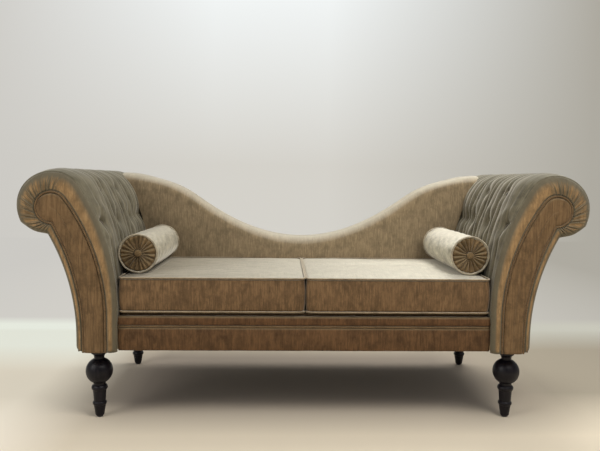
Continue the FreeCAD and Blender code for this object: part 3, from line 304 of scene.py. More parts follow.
def velvet(name, front, top, stretch, sheen=0.5, streak=0.3, crush=0.5, up_from=0.25, up_to=0.95,
           turned="Z", painted_left_shade=None):
    """The velvet: its colour on upright faces, a paler colour painted on faces turned along an axis (partly
    the nap, partly painted light), painted shade where asked, and its streaks.
    """
    material, tree, surface = blank_material(
        name, Roughness=0.85, Specular_IOR_Level=0.2, Sheen_Weight=sheen, Sheen_Roughness=0.35,
        Sheen_Tint=(0.95, 0.9, 0.8, 1))
    fine = stretched_noise(tree, stretch, detail=3, roughness=0.75)
    broad = stretched_noise(tree, tuple(22 + value * 0.06 for value in stretch), detail=5, roughness=0.7)
    patches = stretched_noise(tree, (11, 11, 11), detail=5, roughness=0.7)
    # Painted light: faces turned along the axis take the paler top colour, partly for the nap and partly as a
    # painted highlight.
    facing = add_node(tree, "NewGeometry")
    parts = add_node(tree, "SeparateXYZ", {"Vector": facing.outputs["Normal"]})
    nap_and_painted_light_share = ranged(tree, parts.outputs[turned], up_from, up_to)
    dark = blended(tree, nap_and_painted_light_share, toned(front, 1 - streak), toned(top, 1 - 0.45 * streak))
    light = blended(tree, nap_and_painted_light_share, toned(front, 1 + streak), toned(top, 1 + 0.25 * streak))
    deep = blended(tree, nap_and_painted_light_share, toned(front, 1 - crush), toned(top, 1 - 0.3 * crush))
    streaked = blended(tree, ranged(tree, fine.outputs["Fac"], 0.34, 0.66), dark, light)
    mottled = blended(tree, ranged(tree, broad.outputs["Fac"], 0.56, 0.36, 0.0, 0.75), streaked, deep)
    colour = blended(tree, ranged(tree, patches.outputs["Fac"], 0.5, 0.72, 0.0, 0.55), mottled, light)
    # Painted shade: where asked, faces turned up are darkened towards the left, as if the light fell from the
    # right.
    if painted_left_shade:
        shade, dark_at, light_at = painted_left_shade
        left_shade_share = ranged(tree, spot_values(tree)["X"], dark_at, light_at, 1.0, 0.0)
        colour = blended(tree, product(tree, left_shade_share, nap_and_painted_light_share), colour, shade, blend_type="MULTIPLY")
    tree.links.new(colour, surface.inputs["Base Color"])
    weave = stretched_noise(tree, (1400, 1400, 1400), detail=2)
    under = bumped(tree, surface, weave.outputs["Fac"], 0.15, 0.0003)
    under = bumped(tree, surface, fine.outputs["Fac"], 0.2, 0.0005, under)
    bumped(tree, surface, broad.outputs["Fac"], 0.3, 0.003, under)
    return material


ALONG_X_STREAKS = (18, 240, 18)
ALONG_Y_STREAKS = (240, 22, 22)

# Seat deck: a pad of felt in a plain brown cloth, stretched over the springs and tacked to
# the rails. The loose cushions lie on it, and it shows only in the gap between them.
deck_cloth = velvet("deck_cloth", (0.1, 0.06, 0.03), (0.14, 0.1, 0.06), (500, 500, 500), sheen=0.2)
deck_low, deck_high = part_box("seat_deck")


def edge_fall(inside, size):
    """How far a rounded edge falls away, as a share, at a distance inside it."""
    return 1 - np.sqrt(np.clip(1 - (1 - np.clip(inside / size, 0, 1)) ** 2, 0, 1))


def padded_slab(low, high, columns, rows, edge):
    """A padded slab: a grid over and one under, which meet at its rounded edge."""
    middle, half = (low + high) / 2, (high - low) / 2
    points = []
    for side in (1, -1):
        for u in np.linspace(-1, 1, columns):
            for v in np.linspace(-1, 1, rows):
                near_edge = min((1 - abs(u)) * half.x, (1 - abs(v)) * half.y)
                points.append((middle.x + u * half.x, middle.y + v * half.y,
                               middle.z + side * half.z * (1 - edge_fall(near_edge, edge))))
    over = grid_faces(columns, rows)
    return points, over + [[number + columns * rows for number in face[::-1]] for face in over]


deck = new_piece("deck_pad", *padded_slab(deck_low, deck_high, 80, 40, 0.012), deck_cloth, "frame",
                 "deck_cloth", ["seat_deck"])

# Arm pads: cotton felt over the bent lining, under velvet drawn into long flutes from the
# seat up over the roll. Covered buttons, tied through to the lining, pull it in.
SEAT_SIDE, ARM_FOOT_OUTSIDE, SCROLL_HEIGHT = 0.613, 0.745, 0.706
SCROLL_X, SCROLL_RADIUS, ROLL_X, ROLL_RADIUS = 0.814, 0.106, 0.802, 0.118
NOTCH = np.array((0.830, 0.620))
LIP_DROP, OUTER_FLARE_HEIGHT, BASE_HEIGHT = 0.045, 0.290, 0.236
ROLL_FLARE, FRONT_FLARE = 0.340, 0.380
ARM_FRONT, ARM_REAR, BACK_FRONT = -0.3395, 0.3515, 0.2195
PAD_FOOT, PAD_DEPTH = 0.3343, 0.0397
BUTTON_SPOTS = ((-0.3005, 0.655), (-0.1275, 0.655), (0.0425, 0.660), (-0.2025, 0.765),
                (-0.0075, 0.765))


def flare(inner, flare_height, head_x, head_radius):
    """Radius of the arm's flared side, and the angle at which it meets the round head."""
    across, rise = head_x - inner, SCROLL_HEIGHT - flare_height
    radius = (across ** 2 + rise ** 2 - head_radius ** 2) / (2 * (across - head_radius))
    return radius, math.atan2(rise, radius - across)


def inner_side(inner, flare_height, head_x, head_radius, foot, stop, counts):
    """Points and outward directions from the foot up the flare and over the head."""
    radius, touch = flare(inner, flare_height, head_x, head_radius)
    foot_count, flare_count, head_count = counts
    heights = np.linspace(foot, flare_height, foot_count, endpoint=False)
    upright = np.stack([np.full(foot_count, inner), heights], 1)
    angles = np.linspace(0, touch, flare_count, endpoint=False)
    flared = np.stack([inner + radius * (1 - np.cos(angles)),
                       flare_height + radius * np.sin(angles)], 1)
    turns = np.linspace(touch, stop, head_count)
    head = np.stack([head_x - head_radius * np.cos(turns),
                     SCROLL_HEIGHT + head_radius * np.sin(turns)], 1)
    directions = np.concatenate([np.zeros(foot_count), angles, turns])
    return (np.concatenate([upright, flared, head]),
            np.stack([-np.cos(directions), np.sin(directions)], 1))


def lip(start, start_out, count):
    """The underside of the roll, from the head to the notch, slightly plump."""
    share = np.linspace(0, 1, count + 1)[1:, None]
    points = start + (NOTCH - start) * share
    run = NOTCH - start
    out = np.array((-run[1], run[0])) / np.linalg.norm(run)
    points = points + out * 0.006 * np.sin(np.pi * share)
    return points, start_out * (1 - share) + out * share


def run_length(points):
    """How far along a run of points each of them lies."""
    steps = np.linalg.norm(np.diff(points, axis=0), axis=1)
    return np.concatenate([[0], np.cumsum(steps)])


PAD_COUNTS = (4, 108, 116)
LIP_COUNT = 22
pad_stop = math.pi + math.asin(LIP_DROP / ROLL_RADIUS)
roll_points, roll_out = inner_side(SEAT_SIDE, ROLL_FLARE, ROLL_X, ROLL_RADIUS, PAD_FOOT, pad_stop,
                                   PAD_COUNTS)
lip_points, lip_out = lip(roll_points[-1], roll_out[-1], LIP_COUNT)
roll_points, roll_out = np.vstack([roll_points, lip_points]), np.vstack([roll_out, lip_out])
front_stop = math.pi + math.asin(LIP_DROP / SCROLL_RADIUS)
edge_points, edge_out = inner_side(SEAT_SIDE, FRONT_FLARE, SCROLL_X, SCROLL_RADIUS, PAD_FOOT,
                                   front_stop, PAD_COUNTS)
lip_points, lip_out = lip(edge_points[-1], edge_out[-1], LIP_COUNT)
edge_points, edge_out = np.vstack([edge_points, lip_points]), np.vstack([edge_out, lip_out])
notch_turn = math.atan2(NOTCH[1] - SCROLL_HEIGHT, -(NOTCH[0] - ROLL_X)) % (2 * math.pi)
core_radius = ROLL_RADIUS - PAD_DEPTH
core_points = inner_side(SEAT_SIDE + PAD_DEPTH, ROLL_FLARE, ROLL_X, core_radius, PAD_FOOT, pad_stop,
                         PAD_COUNTS)[0]
core_turns = np.linspace(pad_stop, notch_turn, LIP_COUNT + 1)[1:]
core_end = np.stack([ROLL_X - core_radius * np.cos(core_turns),
                     SCROLL_HEIGHT + core_radius * np.sin(core_turns)], 1)
core_points = np.vstack([core_points, core_end])
travel = run_length(roll_points)


def smooth(value, low, high):
    """A soft step from 0 to 1."""
    share = np.clip((value - low) / (high - low), 0, 1)
    return share * share * (3 - 2 * share)


def swell(value, rise, fall):
    """A soft rise from 0 to 1 and a soft fall back to 0."""
    return smooth(value, *rise) * (1 - smooth(value, *fall))


inner_top = int(np.argmax(roll_points[:, 1]))


def travel_at(height):
    """How far up the cover a height on its inner side lies."""
    return float(np.interp(height, roll_points[:inner_top, 1], travel[:inner_top]))


FLUTE_FIRST, FLUTE_PITCH, FLUTE_COUNT = -0.3005, 0.0433, 15
CREASE_DEPTH, CREASE_WIDTH, VALLEY_DEPTH, VALLEY_WIDTH = 0.0075, 0.0045, 0.0066, 0.013
DIMPLE_DEPTH, DIMPLE_WIDTH, DEEPEST = 0.012, 0.011, 0.024
depth_places = np.linspace(ARM_FRONT, ARM_REAR, 190)
cover_s, cover_y = np.meshgrid(travel, depth_places, indexing="ij")
relief = np.zeros_like(cover_s)
over_seat = smooth(cover_s, travel_at(0.47), travel_at(0.60))
roll_fade = 1 - smooth(cover_s, travel[-1] * 0.72, travel[-1] * 0.92)
for number in range(FLUTE_COUNT):
    middle = FLUTE_FIRST + number * FLUTE_PITCH
    wander = 0.004 * np.sin(cover_s * 9 + number * 2.1) + 0.0025 * np.sin(cover_s * 23 + number * 1.3)
    strength = 0.62 + 0.38 * np.sin(cover_s * 8 + number * 1.9)
    strength *= 0.35 + 0.65 * smooth(middle, -0.28, -0.16)
    gap = cover_y - middle - wander
    relief -= strength * roll_fade * (CREASE_DEPTH * np.exp(-(gap / CREASE_WIDTH) ** 2)
                                      + VALLEY_DEPTH * np.exp(-(gap / VALLEY_WIDTH) ** 2))
relief += 0.004 * over_seat * roll_fade
for button_y, button_z in BUTTON_SPOTS:
    button_s = travel_at(button_z)
    reach = np.hypot(cover_s - button_s, cover_y - button_y)
    pull = 1.0 if button_z < 0.7 else 0.55
    relief -= pull * DIMPLE_DEPTH * np.exp(-(np.clip(reach - 0.006, 0, None) / DIMPLE_WIDTH) ** 2)
    relief -= pull * 0.006 * np.exp(-(reach / 0.034) ** 2)
    relief += pull * 0.003 * np.exp(-((reach - 0.052) / 0.02) ** 2) * over_seat
front_s, front_y = travel_at(BUTTON_SPOTS[0][1]), FLUTE_FIRST
pleat = np.exp(-((cover_s - front_s + 0.15 * (front_y - cover_y)) / 0.0042) ** 2)
relief -= 0.006 * pleat * (cover_y < front_y)
rear_s = travel_at(0.660)
behind = smooth(cover_y, 0.05, 0.12)
relief -= 0.013 * behind * np.exp(-((cover_s - rear_s) / 0.022) ** 2)
relief += 0.008 * behind * np.exp(-((cover_s - travel_at(0.735)) / 0.06) ** 2)
seam_fade = smooth(cover_y, ARM_FRONT, ARM_FRONT + 0.03)
relief = np.maximum(relief * seam_fade, -DEEPEST)
relief += 0.005 * smooth(cover_s, travel_at(0.76), travel_at(0.80)) * roll_fade
relief -= 0.010 * (1 - np.sqrt(np.clip((ARM_REAR - cover_y) / 0.014, 0, 1)))
swell_in = np.sqrt(np.clip((depth_places - ARM_FRONT) / 0.075, 0, 1))
swell_in = swell_in * swell_in * (3 - 2 * swell_in)
cover = np.zeros(cover_s.shape + (3,))
edge_travel = run_length(edge_points)
edge_plump = 0.006 * swell(edge_travel, (0.42, 0.55), (edge_travel[-1] - 0.05, edge_travel[-1]))
edge_points = edge_points + edge_out * edge_plump[:, None]
share_in = swell_in[None, :, None]
flat_cover = edge_points[:, None, :] * (1 - share_in) + roll_points[:, None, :] * share_in
cover_out = edge_out[:, None, :] * (1 - share_in) + roll_out[:, None, :] * share_in
moved = flat_cover + cover_out * relief[:, :, None]
cover[..., 0], cover[..., 1], cover[..., 2] = moved[..., 0], cover_y, moved[..., 1]
lining_side = np.zeros_like(cover)
lining_side[..., 0], lining_side[..., 2] = core_points[:, None, 0], core_points[:, None, 1]
lining_side[..., 1] = cover_y
shell = np.concatenate([cover, lining_side[::-1]], axis=0)
shell_faces = grid_faces(shell.shape[0], shell.shape[1], wrap_rows=True)
rows, columns = cover.shape[:2]
end_faces = []
for column in (0, columns - 1):
    ring = np.arange(2 * rows) * columns + column
    end_faces += [[ring[n], ring[n + 1], ring[2 * rows - 2 - n], ring[2 * rows - 1 - n]]
                  for n in range(rows - 1)]
arm_velvet = velvet("velvet_inside_arm", (0.145, 0.126, 0.083), (0.175, 0.16, 0.115), ALONG_X_STREAKS,
                    sheen=0.6, streak=0.42, crush=0.6, up_from=0.2, up_to=1.0)


def both_sides(name, points, faces, material, node, fill=None, body="frame", slot="velvet"):
    """Makes a piece on the right and its mirror image on the left; the fill is not used."""
    for side in ("right", "left"):
        home = body if body == "frame" else f"{side}_{body}"
        piece = new_piece(f"{side}_{name}", points, faces, material, home, slot, [f"{side}_{node}"],
                          mirror=side == "left")


both_sides("arm_cover", shell.reshape(-1, 3), shell_faces + end_faces, arm_velvet, "arm_pad", fill=0.75)

# Arm buttons: sheet-metal shells with a scrap of the velvet pressed over them, five to an
# arm, each sunk to the bottom of its dimple.
BUTTON_RADIUS, BUTTON_SINK, BUTTON_RISE = 0.011, 0.0135, 0.0055
button_velvet = velvet("velvet_buttons", (0.07, 0.056, 0.04), (0.1, 0.085, 0.06), (260, 260, 20), sheen=0.4,
                       streak=0.3)


def dome(radius, rise, thickness, rings=10, around=36):
    """A covered button: a domed face rolled over a rim to a flat back."""
    points = [(0, 0, rise)]
    for ring in range(1, rings + 1):
        bend = ring / rings
        reach = radius * math.sin(bend * math.pi / 2)
        level = rise * math.cos(bend * math.pi / 2) ** 0.9
        points += [(reach * math.cos(turn), reach * math.sin(turn), level)
                   for turn in round_turns(around)]
    for reach, level in ((radius, -0.4 * thickness), (0.9 * radius, -thickness)):
        points += [(reach * math.cos(turn), reach * math.sin(turn), level)
                   for turn in round_turns(around)]
    faces = [[0, 1 + n, 1 + (n + 1) % around] for n in range(around)]
    for ring in range(rings + 1):
        start = 1 + ring * around
        faces += [[start + n, start + around + n, start + around + (n + 1) % around,
                   start + (n + 1) % around] for n in range(around)]
    faces.append(list(range(1 + (rings + 1) * around, 1 + (rings + 2) * around)))
    return np.array(points), faces


def joined(parts):
    """Several lists of points and faces as one."""
    points, faces = [], []
    for some_points, some_faces in parts:
        faces += [[number + len(points) for number in face] for face in some_faces]
        points += [tuple(point) for point in some_points]
    return points, faces


button_parts = []
for button_y, button_z in BUTTON_SPOTS:
    place = np.argmin(np.abs(travel - travel_at(button_z)))
    out = Vector((roll_out[place][0], 0, roll_out[place][1])).normalized()
    sink = BUTTON_SINK if button_z < 0.7 else BUTTON_SINK - 0.005
    centre = Vector((roll_points[place][0], button_y, roll_points[place][1])) - out * sink
    turn = out.to_track_quat("Z", "Y").to_matrix()
    points, faces = dome(BUTTON_RADIUS, BUTTON_RISE, 0.002)
    button_parts.append(([tuple(turn @ Vector(point) + centre) for point in points], faces))
both_sides("tufting_buttons", *joined(button_parts), button_velvet, "arm_buttons")

# Arm front bands: a strip of velvet carried from the roll round onto the front and gathered
# with a running stitch where it turns the scroll, ending in a fold at the notch.
FACING_INNER, FACING_OUTER, FACING_HEAD, FACING_FLARE = 0.652, 0.716, 0.0465, 0.350
SEAM, RISE_RADIUS = 0.0074, 0.7601
BAND_FRONT, FACE_FRONT = -0.3545, -0.3575
FRONT_COUNTS = (10, 70, 120)
LIP_STEPS, RISE_STEPS, FOOT_STEPS = 40, 60, 8


def outer_side(outer, end, radius):
    """The arm's outer side, from a point near the notch down to the foot."""
    top = math.asin((end[1] - OUTER_FLARE_HEIGHT) / radius)
    angles = np.linspace(top, 0, RISE_STEPS + 1)[1:]
    curve = np.stack([outer + radius * (1 - np.cos(angles)),
                      OUTER_FLARE_HEIGHT + radius * np.sin(angles)], 1)
    heights = np.linspace(OUTER_FLARE_HEIGHT, BASE_HEIGHT, FOOT_STEPS + 1)[1:]
    return np.vstack([curve, np.stack([np.full(FOOT_STEPS, outer), heights], 1)])


def meeting(outer, head_radius, radius):
    """Where the outer side, drawn at a radius, runs into the facing's round head."""
    centre = np.array((outer + radius, OUTER_FLARE_HEIGHT))
    head = np.array((SCROLL_X, SCROLL_HEIGHT))
    apart = np.linalg.norm(head - centre)
    share = (radius ** 2 - head_radius ** 2 + apart ** 2) / (2 * apart)
    aside = math.sqrt(radius ** 2 - share ** 2)
    along_line = (head - centre) / apart
    across_line = np.array((-along_line[1], along_line[0]))
    return centre + along_line * share + across_line * aside


def facing_outline(inset):
    """The facing's outline moved outwards by an inset, split like the band's."""
    inner, outer, head_radius = FACING_INNER - inset, FACING_OUTER + inset, FACING_HEAD + inset
    radius = RISE_RADIUS + SEAM / 2 - inset
    end = meeting(outer, head_radius, radius)
    end_turn = math.atan2(end[1] - SCROLL_HEIGHT, SCROLL_X - end[0]) % (2 * math.pi)
    split = math.radians(232)
    points = inner_side(inner, FACING_FLARE, SCROLL_X, head_radius, BASE_HEIGHT, split,
                        FRONT_COUNTS)[0]
    turns = np.linspace(split, end_turn, LIP_STEPS + 1)[1:]
    last = np.stack([SCROLL_X - head_radius * np.cos(turns),
                     SCROLL_HEIGHT + head_radius * np.sin(turns)], 1)
    return np.vstack([points, last, outer_side(outer, end, radius)])


def at_depth(line, depth):
    """A line of the arm's front view, set at a depth."""
    return np.column_stack([line[:, 0], depth + np.zeros(len(line)), line[:, 1]])


band_outer, band_out = inner_side(SEAT_SIDE, FRONT_FLARE, SCROLL_X, SCROLL_RADIUS, BASE_HEIGHT,
                                  front_stop, FRONT_COUNTS)
lip_points, lip_out = lip(band_outer[-1], band_out[-1], LIP_STEPS)
rise_run = NOTCH - (ARM_FOOT_OUTSIDE, OUTER_FLARE_HEIGHT)
band_rise = np.square(rise_run).sum() / (2 * rise_run[0])
band_outer = np.vstack([band_outer, lip_points, outer_side(ARM_FOOT_OUTSIDE, NOTCH, band_rise)])
FOOT_ROUND = 0.02
corner_drop = np.clip(BASE_HEIGHT + FOOT_ROUND - band_outer[:, 1], 0, FOOT_ROUND)
on_outside = np.arange(len(band_outer)) > sum(FRONT_COUNTS)
band_outer[:, 0] -= on_outside * (FOOT_ROUND - np.sqrt(FOOT_ROUND ** 2 - corner_drop ** 2))
band_inner = facing_outline(SEAM)
station = run_length(band_outer)
head_start = station[FRONT_COUNTS[0] + FRONT_COUNTS[1]]
lip_end = station[sum(FRONT_COUNTS) + LIP_STEPS - 1]
gathered = swell(station, (head_start + 0.03, head_start + 0.10), (lip_end - 0.006, lip_end + 0.002))
pleats = np.zeros_like(station)
for pitch, weight, phase in ((0.0185, 0.55, 0.3), (0.0117, 0.35, 1.7), (0.0071, 0.2, 0.9)):
    wobble = 0.35 * np.sin(station * 31 + phase * 5) + 0.3 * np.sin(station * 67 + phase)
    pleats += weight * (1 - 2 * np.abs(np.sin(np.pi * station / pitch + phase + wobble)) ** 0.7)
ROUND_WIDTH, TUCK_WIDTH, GATHER_DEPTH, BAND_PLUMP = 0.024, 0.006, 0.0075, 0.006
lip_steps_out = np.concatenate([band_out, lip_out])
plump = np.zeros((len(band_outer), 2))
plump[:len(lip_steps_out)] = lip_steps_out
plumper = swell(station, (head_start - 0.02, head_start + 0.08), (lip_end - 0.05, lip_end))
plump *= plumper[:, None] * BAND_PLUMP
inner_sided = 1 - smooth(station, head_start + 0.10, head_start + 0.20)
round_size = ROUND_WIDTH + 0.018 * inner_sided * smooth(station, 0.1, 0.3)
width = np.linalg.norm(band_inner - band_outer, axis=1)
band_rows = []
for share in eased(25):
    line = band_outer + (band_inner - band_outer) * share + plump * (1 - share) ** 2
    inside = share * width
    depth = (ARM_FRONT - BAND_FRONT) * (1 - edge_fall(inside, round_size))
    depth += 0.0035 * math.sin(math.pi * share)
    depth -= (0.0035 + 0.002 * gathered) * edge_fall(width - inside, TUCK_WIDTH)
    drawn_in = (0.2 + 0.8 * share) * math.sin(math.pi * min(share * 1.25, 1) / 1.25)
    depth -= GATHER_DEPTH * gathered * pleats * drawn_in
    band_rows.append(at_depth(line, ARM_FRONT - depth))
for line in (band_inner, band_outer + plump):
    band_rows.append(at_depth(line, ARM_FRONT + 0.0004))
band_grid = np.stack(band_rows, 1)
# Painted highlight: the band's faces turned straight to the front take the bright gold colour, and faces
# turned away the duller one.
band_velvet = velvet("velvet_arm_band", (0.3, 0.188, 0.088), (0.14, 0.118, 0.077), (150, 30, 18),
                     sheen=0.5, streak=0.3, crush=0.5, up_from=-0.99, up_to=-0.86, turned="Y")
both_sides("gathered_band", *as_tube(band_grid), band_velvet, "arm_front_band", fill=0.7)

# Arm facings: a shaped board with a skin of wadding under velvet, blind-nailed over the
# gathers, so that its edge hides their stitches.
facing_edge = facing_outline(0)
inner_count = FRONT_COUNTS[0] + FRONT_COUNTS[1]
outer_count = RISE_STEPS + FOOT_STEPS
inner_run, outer_run = facing_edge[:inner_count], facing_edge[-outer_count:][::-1]
levels = np.linspace(0, 1, 60)


def at_share(run, shares):
    """Points along a run at even shares of its length."""
    places = run_length(run)
    return np.stack([np.interp(shares * places[-1], places, run[:, axis]) for axis in (0, 1)], 1)


middle_line = (at_share(inner_run, levels) + at_share(outer_run, levels)) / 2
head_middle = np.array((SCROLL_X, SCROLL_HEIGHT))
spine = []
for number, point in enumerate(facing_edge):
    if number < inner_count:
        spine.append(at_share(middle_line, np.array([number / inner_count]))[0])
    elif number >= len(facing_edge) - outer_count:
        share = (len(facing_edge) - 1 - number) / outer_count
        spine.append(at_share(middle_line, np.array([share]))[0])
    else:
        share = (number - inner_count) / (len(facing_edge) - outer_count - inner_count)
        pull = math.sin(math.pi * share) ** 0.6
        spine.append(middle_line[-1] * (1 - pull) + head_middle * pull)
spine = np.array(spine)
FACE_CROWN, GROOVE_DEPTH, FACE_ROUND = 0.003, 0.008, 0.009
facing_rows = []
for share in np.sin(np.linspace(0, math.pi / 2, 16)):
    line = spine + (facing_edge - spine) * share
    inside = (1 - share) * np.linalg.norm(facing_edge - spine, axis=1)
    depth = FACE_FRONT - FACE_CROWN * (1 - share ** 2)
    depth = depth + (0.003 + GROOVE_DEPTH * inner_sided) * edge_fall(inside, FACE_ROUND)
    facing_rows.append(at_depth(line, depth))
for line in (facing_edge, spine):
    facing_rows.append(at_depth(line, ARM_FRONT))
facing_grid = np.stack(facing_rows, 1)
facing_velvet = velvet("velvet_facing", (0.165, 0.1, 0.047), (0.22, 0.16, 0.09), (150, 14, 9), sheen=0.45,
                       streak=0.35, crush=0.5)
both_sides("facing_panel", *as_tube(facing_grid), facing_velvet, "arm_facing", fill=0.85)


# Facing piping: a cotton cord in a bias strip of the velvet, sewn round the facing before
# it is nailed on. It lies in the seam between the facing and the gathers.
def welt(path, radius, ring=12, closed=False):
    """A covered cord along a path of points, with the slight pinch of its stitches."""
    path = np.asarray(path, float)
    ahead_of = np.roll(path, -1, 0) - np.roll(path, 1, 0)
    if not closed:
        ahead_of[0], ahead_of[-1] = path[1] - path[0], path[-1] - path[-2]
    ahead_of = ahead_of / np.linalg.norm(ahead_of, axis=1)[:, None]
    side_way = Vector(ahead_of[0]).orthogonal().normalized()
    points = []
    for number, (point, way) in enumerate(zip(path, ahead_of)):
        way = Vector(way)
        side_way = (side_way - way * side_way.dot(way)).normalized()
        other = way.cross(side_way)
        size = radius * (1 - 0.035 * (number % 3 == 0))
        for turn in round_turns(ring):
            spoke = side_way * math.cos(turn) + other * math.sin(turn)
            points.append(tuple(Vector(point) + spoke * size))
    if closed:
        return points, grid_faces(len(path), ring, wrap_rows=True, wrap_columns=True)
    return points, tube_faces(len(path), ring)


def evenly(run, spacing, closed=False):
    """A run of points laid out again at an even spacing."""
    run = np.asarray(run, float)
    if closed:
        run = np.vstack([run, run[:1]])
    places = run_length(run)
    count = max(3, int(places[-1] / spacing))
    shares = np.linspace(0, places[-1], count, endpoint=not closed)
    return np.stack([np.interp(shares, places, run[:, axis]) for axis in range(run.shape[1])], 1)


WELT_RADIUS = 0.0034
welt_line = facing_outline(SEAM / 2)
welt_run = at_depth(welt_line, FACE_FRONT + WELT_RADIUS)
piping_velvet = velvet("velvet_piping", (0.155, 0.096, 0.046), (0.2, 0.14, 0.08), (300, 300, 300), sheen=0.4,
                       streak=0.3)
both_sides("facing_piping", *welt(evenly(welt_run, 0.004), WELT_RADIUS), piping_velvet, "arm_welt",
           slot="velvet_piping")

# Outside arms: velvet stretched flat over a thin board from the notch to the bottom rail,
# closed under the roll and folded round the rear board.
panel_line = outer_side(ARM_FOOT_OUTSIDE, NOTCH, band_rise)
panel_line = np.vstack([[NOTCH + (0.0, -0.0005)], panel_line])
PANEL_BULGE, PANEL_FALL, PANEL_THICKNESS = 0.003, 0.004, 0.0055
panel_rows = []
for share in np.linspace(0, 1, 60):
    y = ARM_FRONT + 0.0006 + share * (ARM_REAR - ARM_FRONT - 0.0012)
    edge = min(share, 1 - share) * (ARM_REAR - ARM_FRONT)
    bulge = PANEL_BULGE * math.sin(math.pi * share) * np.sin(np.pi * np.linspace(0, 1, len(panel_line)))
    line = panel_line + np.outer(bulge - PANEL_FALL * edge_fall(edge, 0.006), (1, 0))
    panel_rows.append(at_depth(line, y))
outside = np.stack(panel_rows, 0)
inside = outside - (PANEL_THICKNESS, 0, 0)
panel_grid = np.concatenate([outside, inside[:, ::-1]], axis=1)
side_velvet = velvet("velvet_outside", (0.15, 0.105, 0.058), (0.26, 0.21, 0.13), (22, 240, 22),
                     sheen=0.45, streak=0.3, crush=0.45)
both_sides("outside_arm", *as_tube(panel_grid), side_velvet, "arm_outer_panel", fill=0.9)

# Back pad: felt over the serpentine board in one smooth panel of velvet, drawn tight over
# the soft top edge, which dips in a long S from the arms to the middle.
VALLEY, PEAK, PEAK_X, HUMP_RADIUS = 0.563, 0.823, 0.740, 0.420
dip = PEAK - VALLEY
valley_radius = (PEAK_X ** 2 + dip ** 2) / (2 * dip) - HUMP_RADIUS
join_x = PEAK_X * valley_radius / (valley_radius + HUMP_RADIUS)


def back_height(x):
    """Height of the back's top edge at a distance from the middle."""
    x = abs(x)
    if x < join_x:
        return VALLEY + valley_radius - math.sqrt(valley_radius ** 2 - x ** 2)
    return PEAK - HUMP_RADIUS + math.sqrt(max(HUMP_RADIUS ** 2 - (PEAK_X - x) ** 2, 0))


def arm_side(height):
    """How far from the middle the arm's cover lies at a height."""
    cover_x = np.interp(height, roll_points[:inner_top, 1], roll_points[:inner_top, 0])
    return min(PEAK_X, float(cover_x) + 0.001)


BACK_REAR, FRONT_ROUND, REAR_ROUND, BACK_FOOT, CAP = 0.3512, 0.042, 0.015, 0.3397, 0.0397
BACK_CORE_FRONT = 0.3042
back_rows = []
for share in np.sin(np.linspace(-math.pi / 2, math.pi / 2, 221)):
    top_height = back_height(share * PEAK_X)
    section = []
    for level in np.linspace(0, 1, 60):
        section.append((0.0, BACK_FOOT + level * (top_height - FRONT_ROUND - BACK_FOOT)))
    for turn in np.linspace(0, math.pi / 2, 14)[1:]:
        section.append((FRONT_ROUND * (1 - math.cos(turn)),
                        top_height - FRONT_ROUND * (1 - math.sin(turn))))
    crown = BACK_REAR - REAR_ROUND - BACK_FRONT - FRONT_ROUND
    for level in np.linspace(0, 1, 12)[1:-1]:
        section.append((FRONT_ROUND + level * crown, top_height + 0.003 * math.sin(math.pi * level)))
    for turn in np.linspace(0, math.pi / 2, 8):
        section.append((BACK_REAR - BACK_FRONT - REAR_ROUND * (1 - math.sin(turn)),
                        top_height - REAR_ROUND * (1 - math.cos(turn))))
    section.append((BACK_REAR - BACK_FRONT, top_height - CAP))
    section.append((BACK_CORE_FRONT - BACK_FRONT, top_height - CAP))
    for level in np.linspace(1, 0, 12)[1:]:
        section.append((BACK_CORE_FRONT - BACK_FRONT, BACK_FOOT + level * (top_height - CAP - BACK_FOOT)))
    row = []
    for depth, height in section:
        x = share * arm_side(height)
        rise = (height - BACK_FOOT) / (top_height - BACK_FOOT)
        puff = 0.007 * math.sin(math.pi * min(max(rise, 0), 1)) * math.cos(share * math.pi / 2) ** 0.5
        puff += 0.0035 * noise.noise(Vector((x * 4, height * 7, 2.3)))
        puff += 0.0012 * noise.noise(Vector((x * 13, height * 17, 5.1)))
        row.append((x, BACK_FRONT + depth - (puff if depth < FRONT_ROUND else 0), height))
    back_rows.append(row)
back_grid = np.array(back_rows)
# Painted highlight: the back's top edge takes the pale top colour.
back_velvet = velvet("velvet_back", (0.28, 0.21, 0.125), (0.5, 0.45, 0.35), ALONG_Y_STREAKS, sheen=0.5,
                     streak=0.25, crush=0.4, up_from=0.4, up_to=1.0)
back_pad = new_piece("back_cover", *as_tube(back_grid), back_velvet, "frame", "velvet", ["back_pad"])

# Outside back: one wide panel of velvet over board, from the bottom rail to just under the
# top edge and out behind both arm rolls, closed with a hand-sewn seam all round.
PANEL_INSET, PANEL_FRONT, PANEL_REAR = 0.016, 0.3516, 0.3575


def rear_top(x):
    """Height of the outside back's top edge."""
    reach = abs(x) - ROLL_X
    radius = ROLL_RADIUS - PANEL_INSET
    roll = SCROLL_HEIGHT + math.sqrt(max(radius ** 2 - reach ** 2, 0)) if abs(reach) < radius else 0
    wide = back_height(x) - PANEL_INSET if abs(x) < PEAK_X else 0
    return max(roll, wide)


def rear_foot(x):
    """Height of the outside back's lower edge, which follows the arm's outer side."""
    reach = abs(x)
    if reach <= ARM_FOOT_OUTSIDE:
        return BASE_HEIGHT
    if reach <= NOTCH[0]:
        across_rise = ARM_FOOT_OUTSIDE + band_rise - reach
        return OUTER_FLARE_HEIGHT + math.sqrt(band_rise ** 2 - across_rise ** 2)
    radius = ROLL_RADIUS - PANEL_INSET
    return SCROLL_HEIGHT - math.sqrt(max(radius ** 2 - (reach - ROLL_X) ** 2, 0)) * 0.8


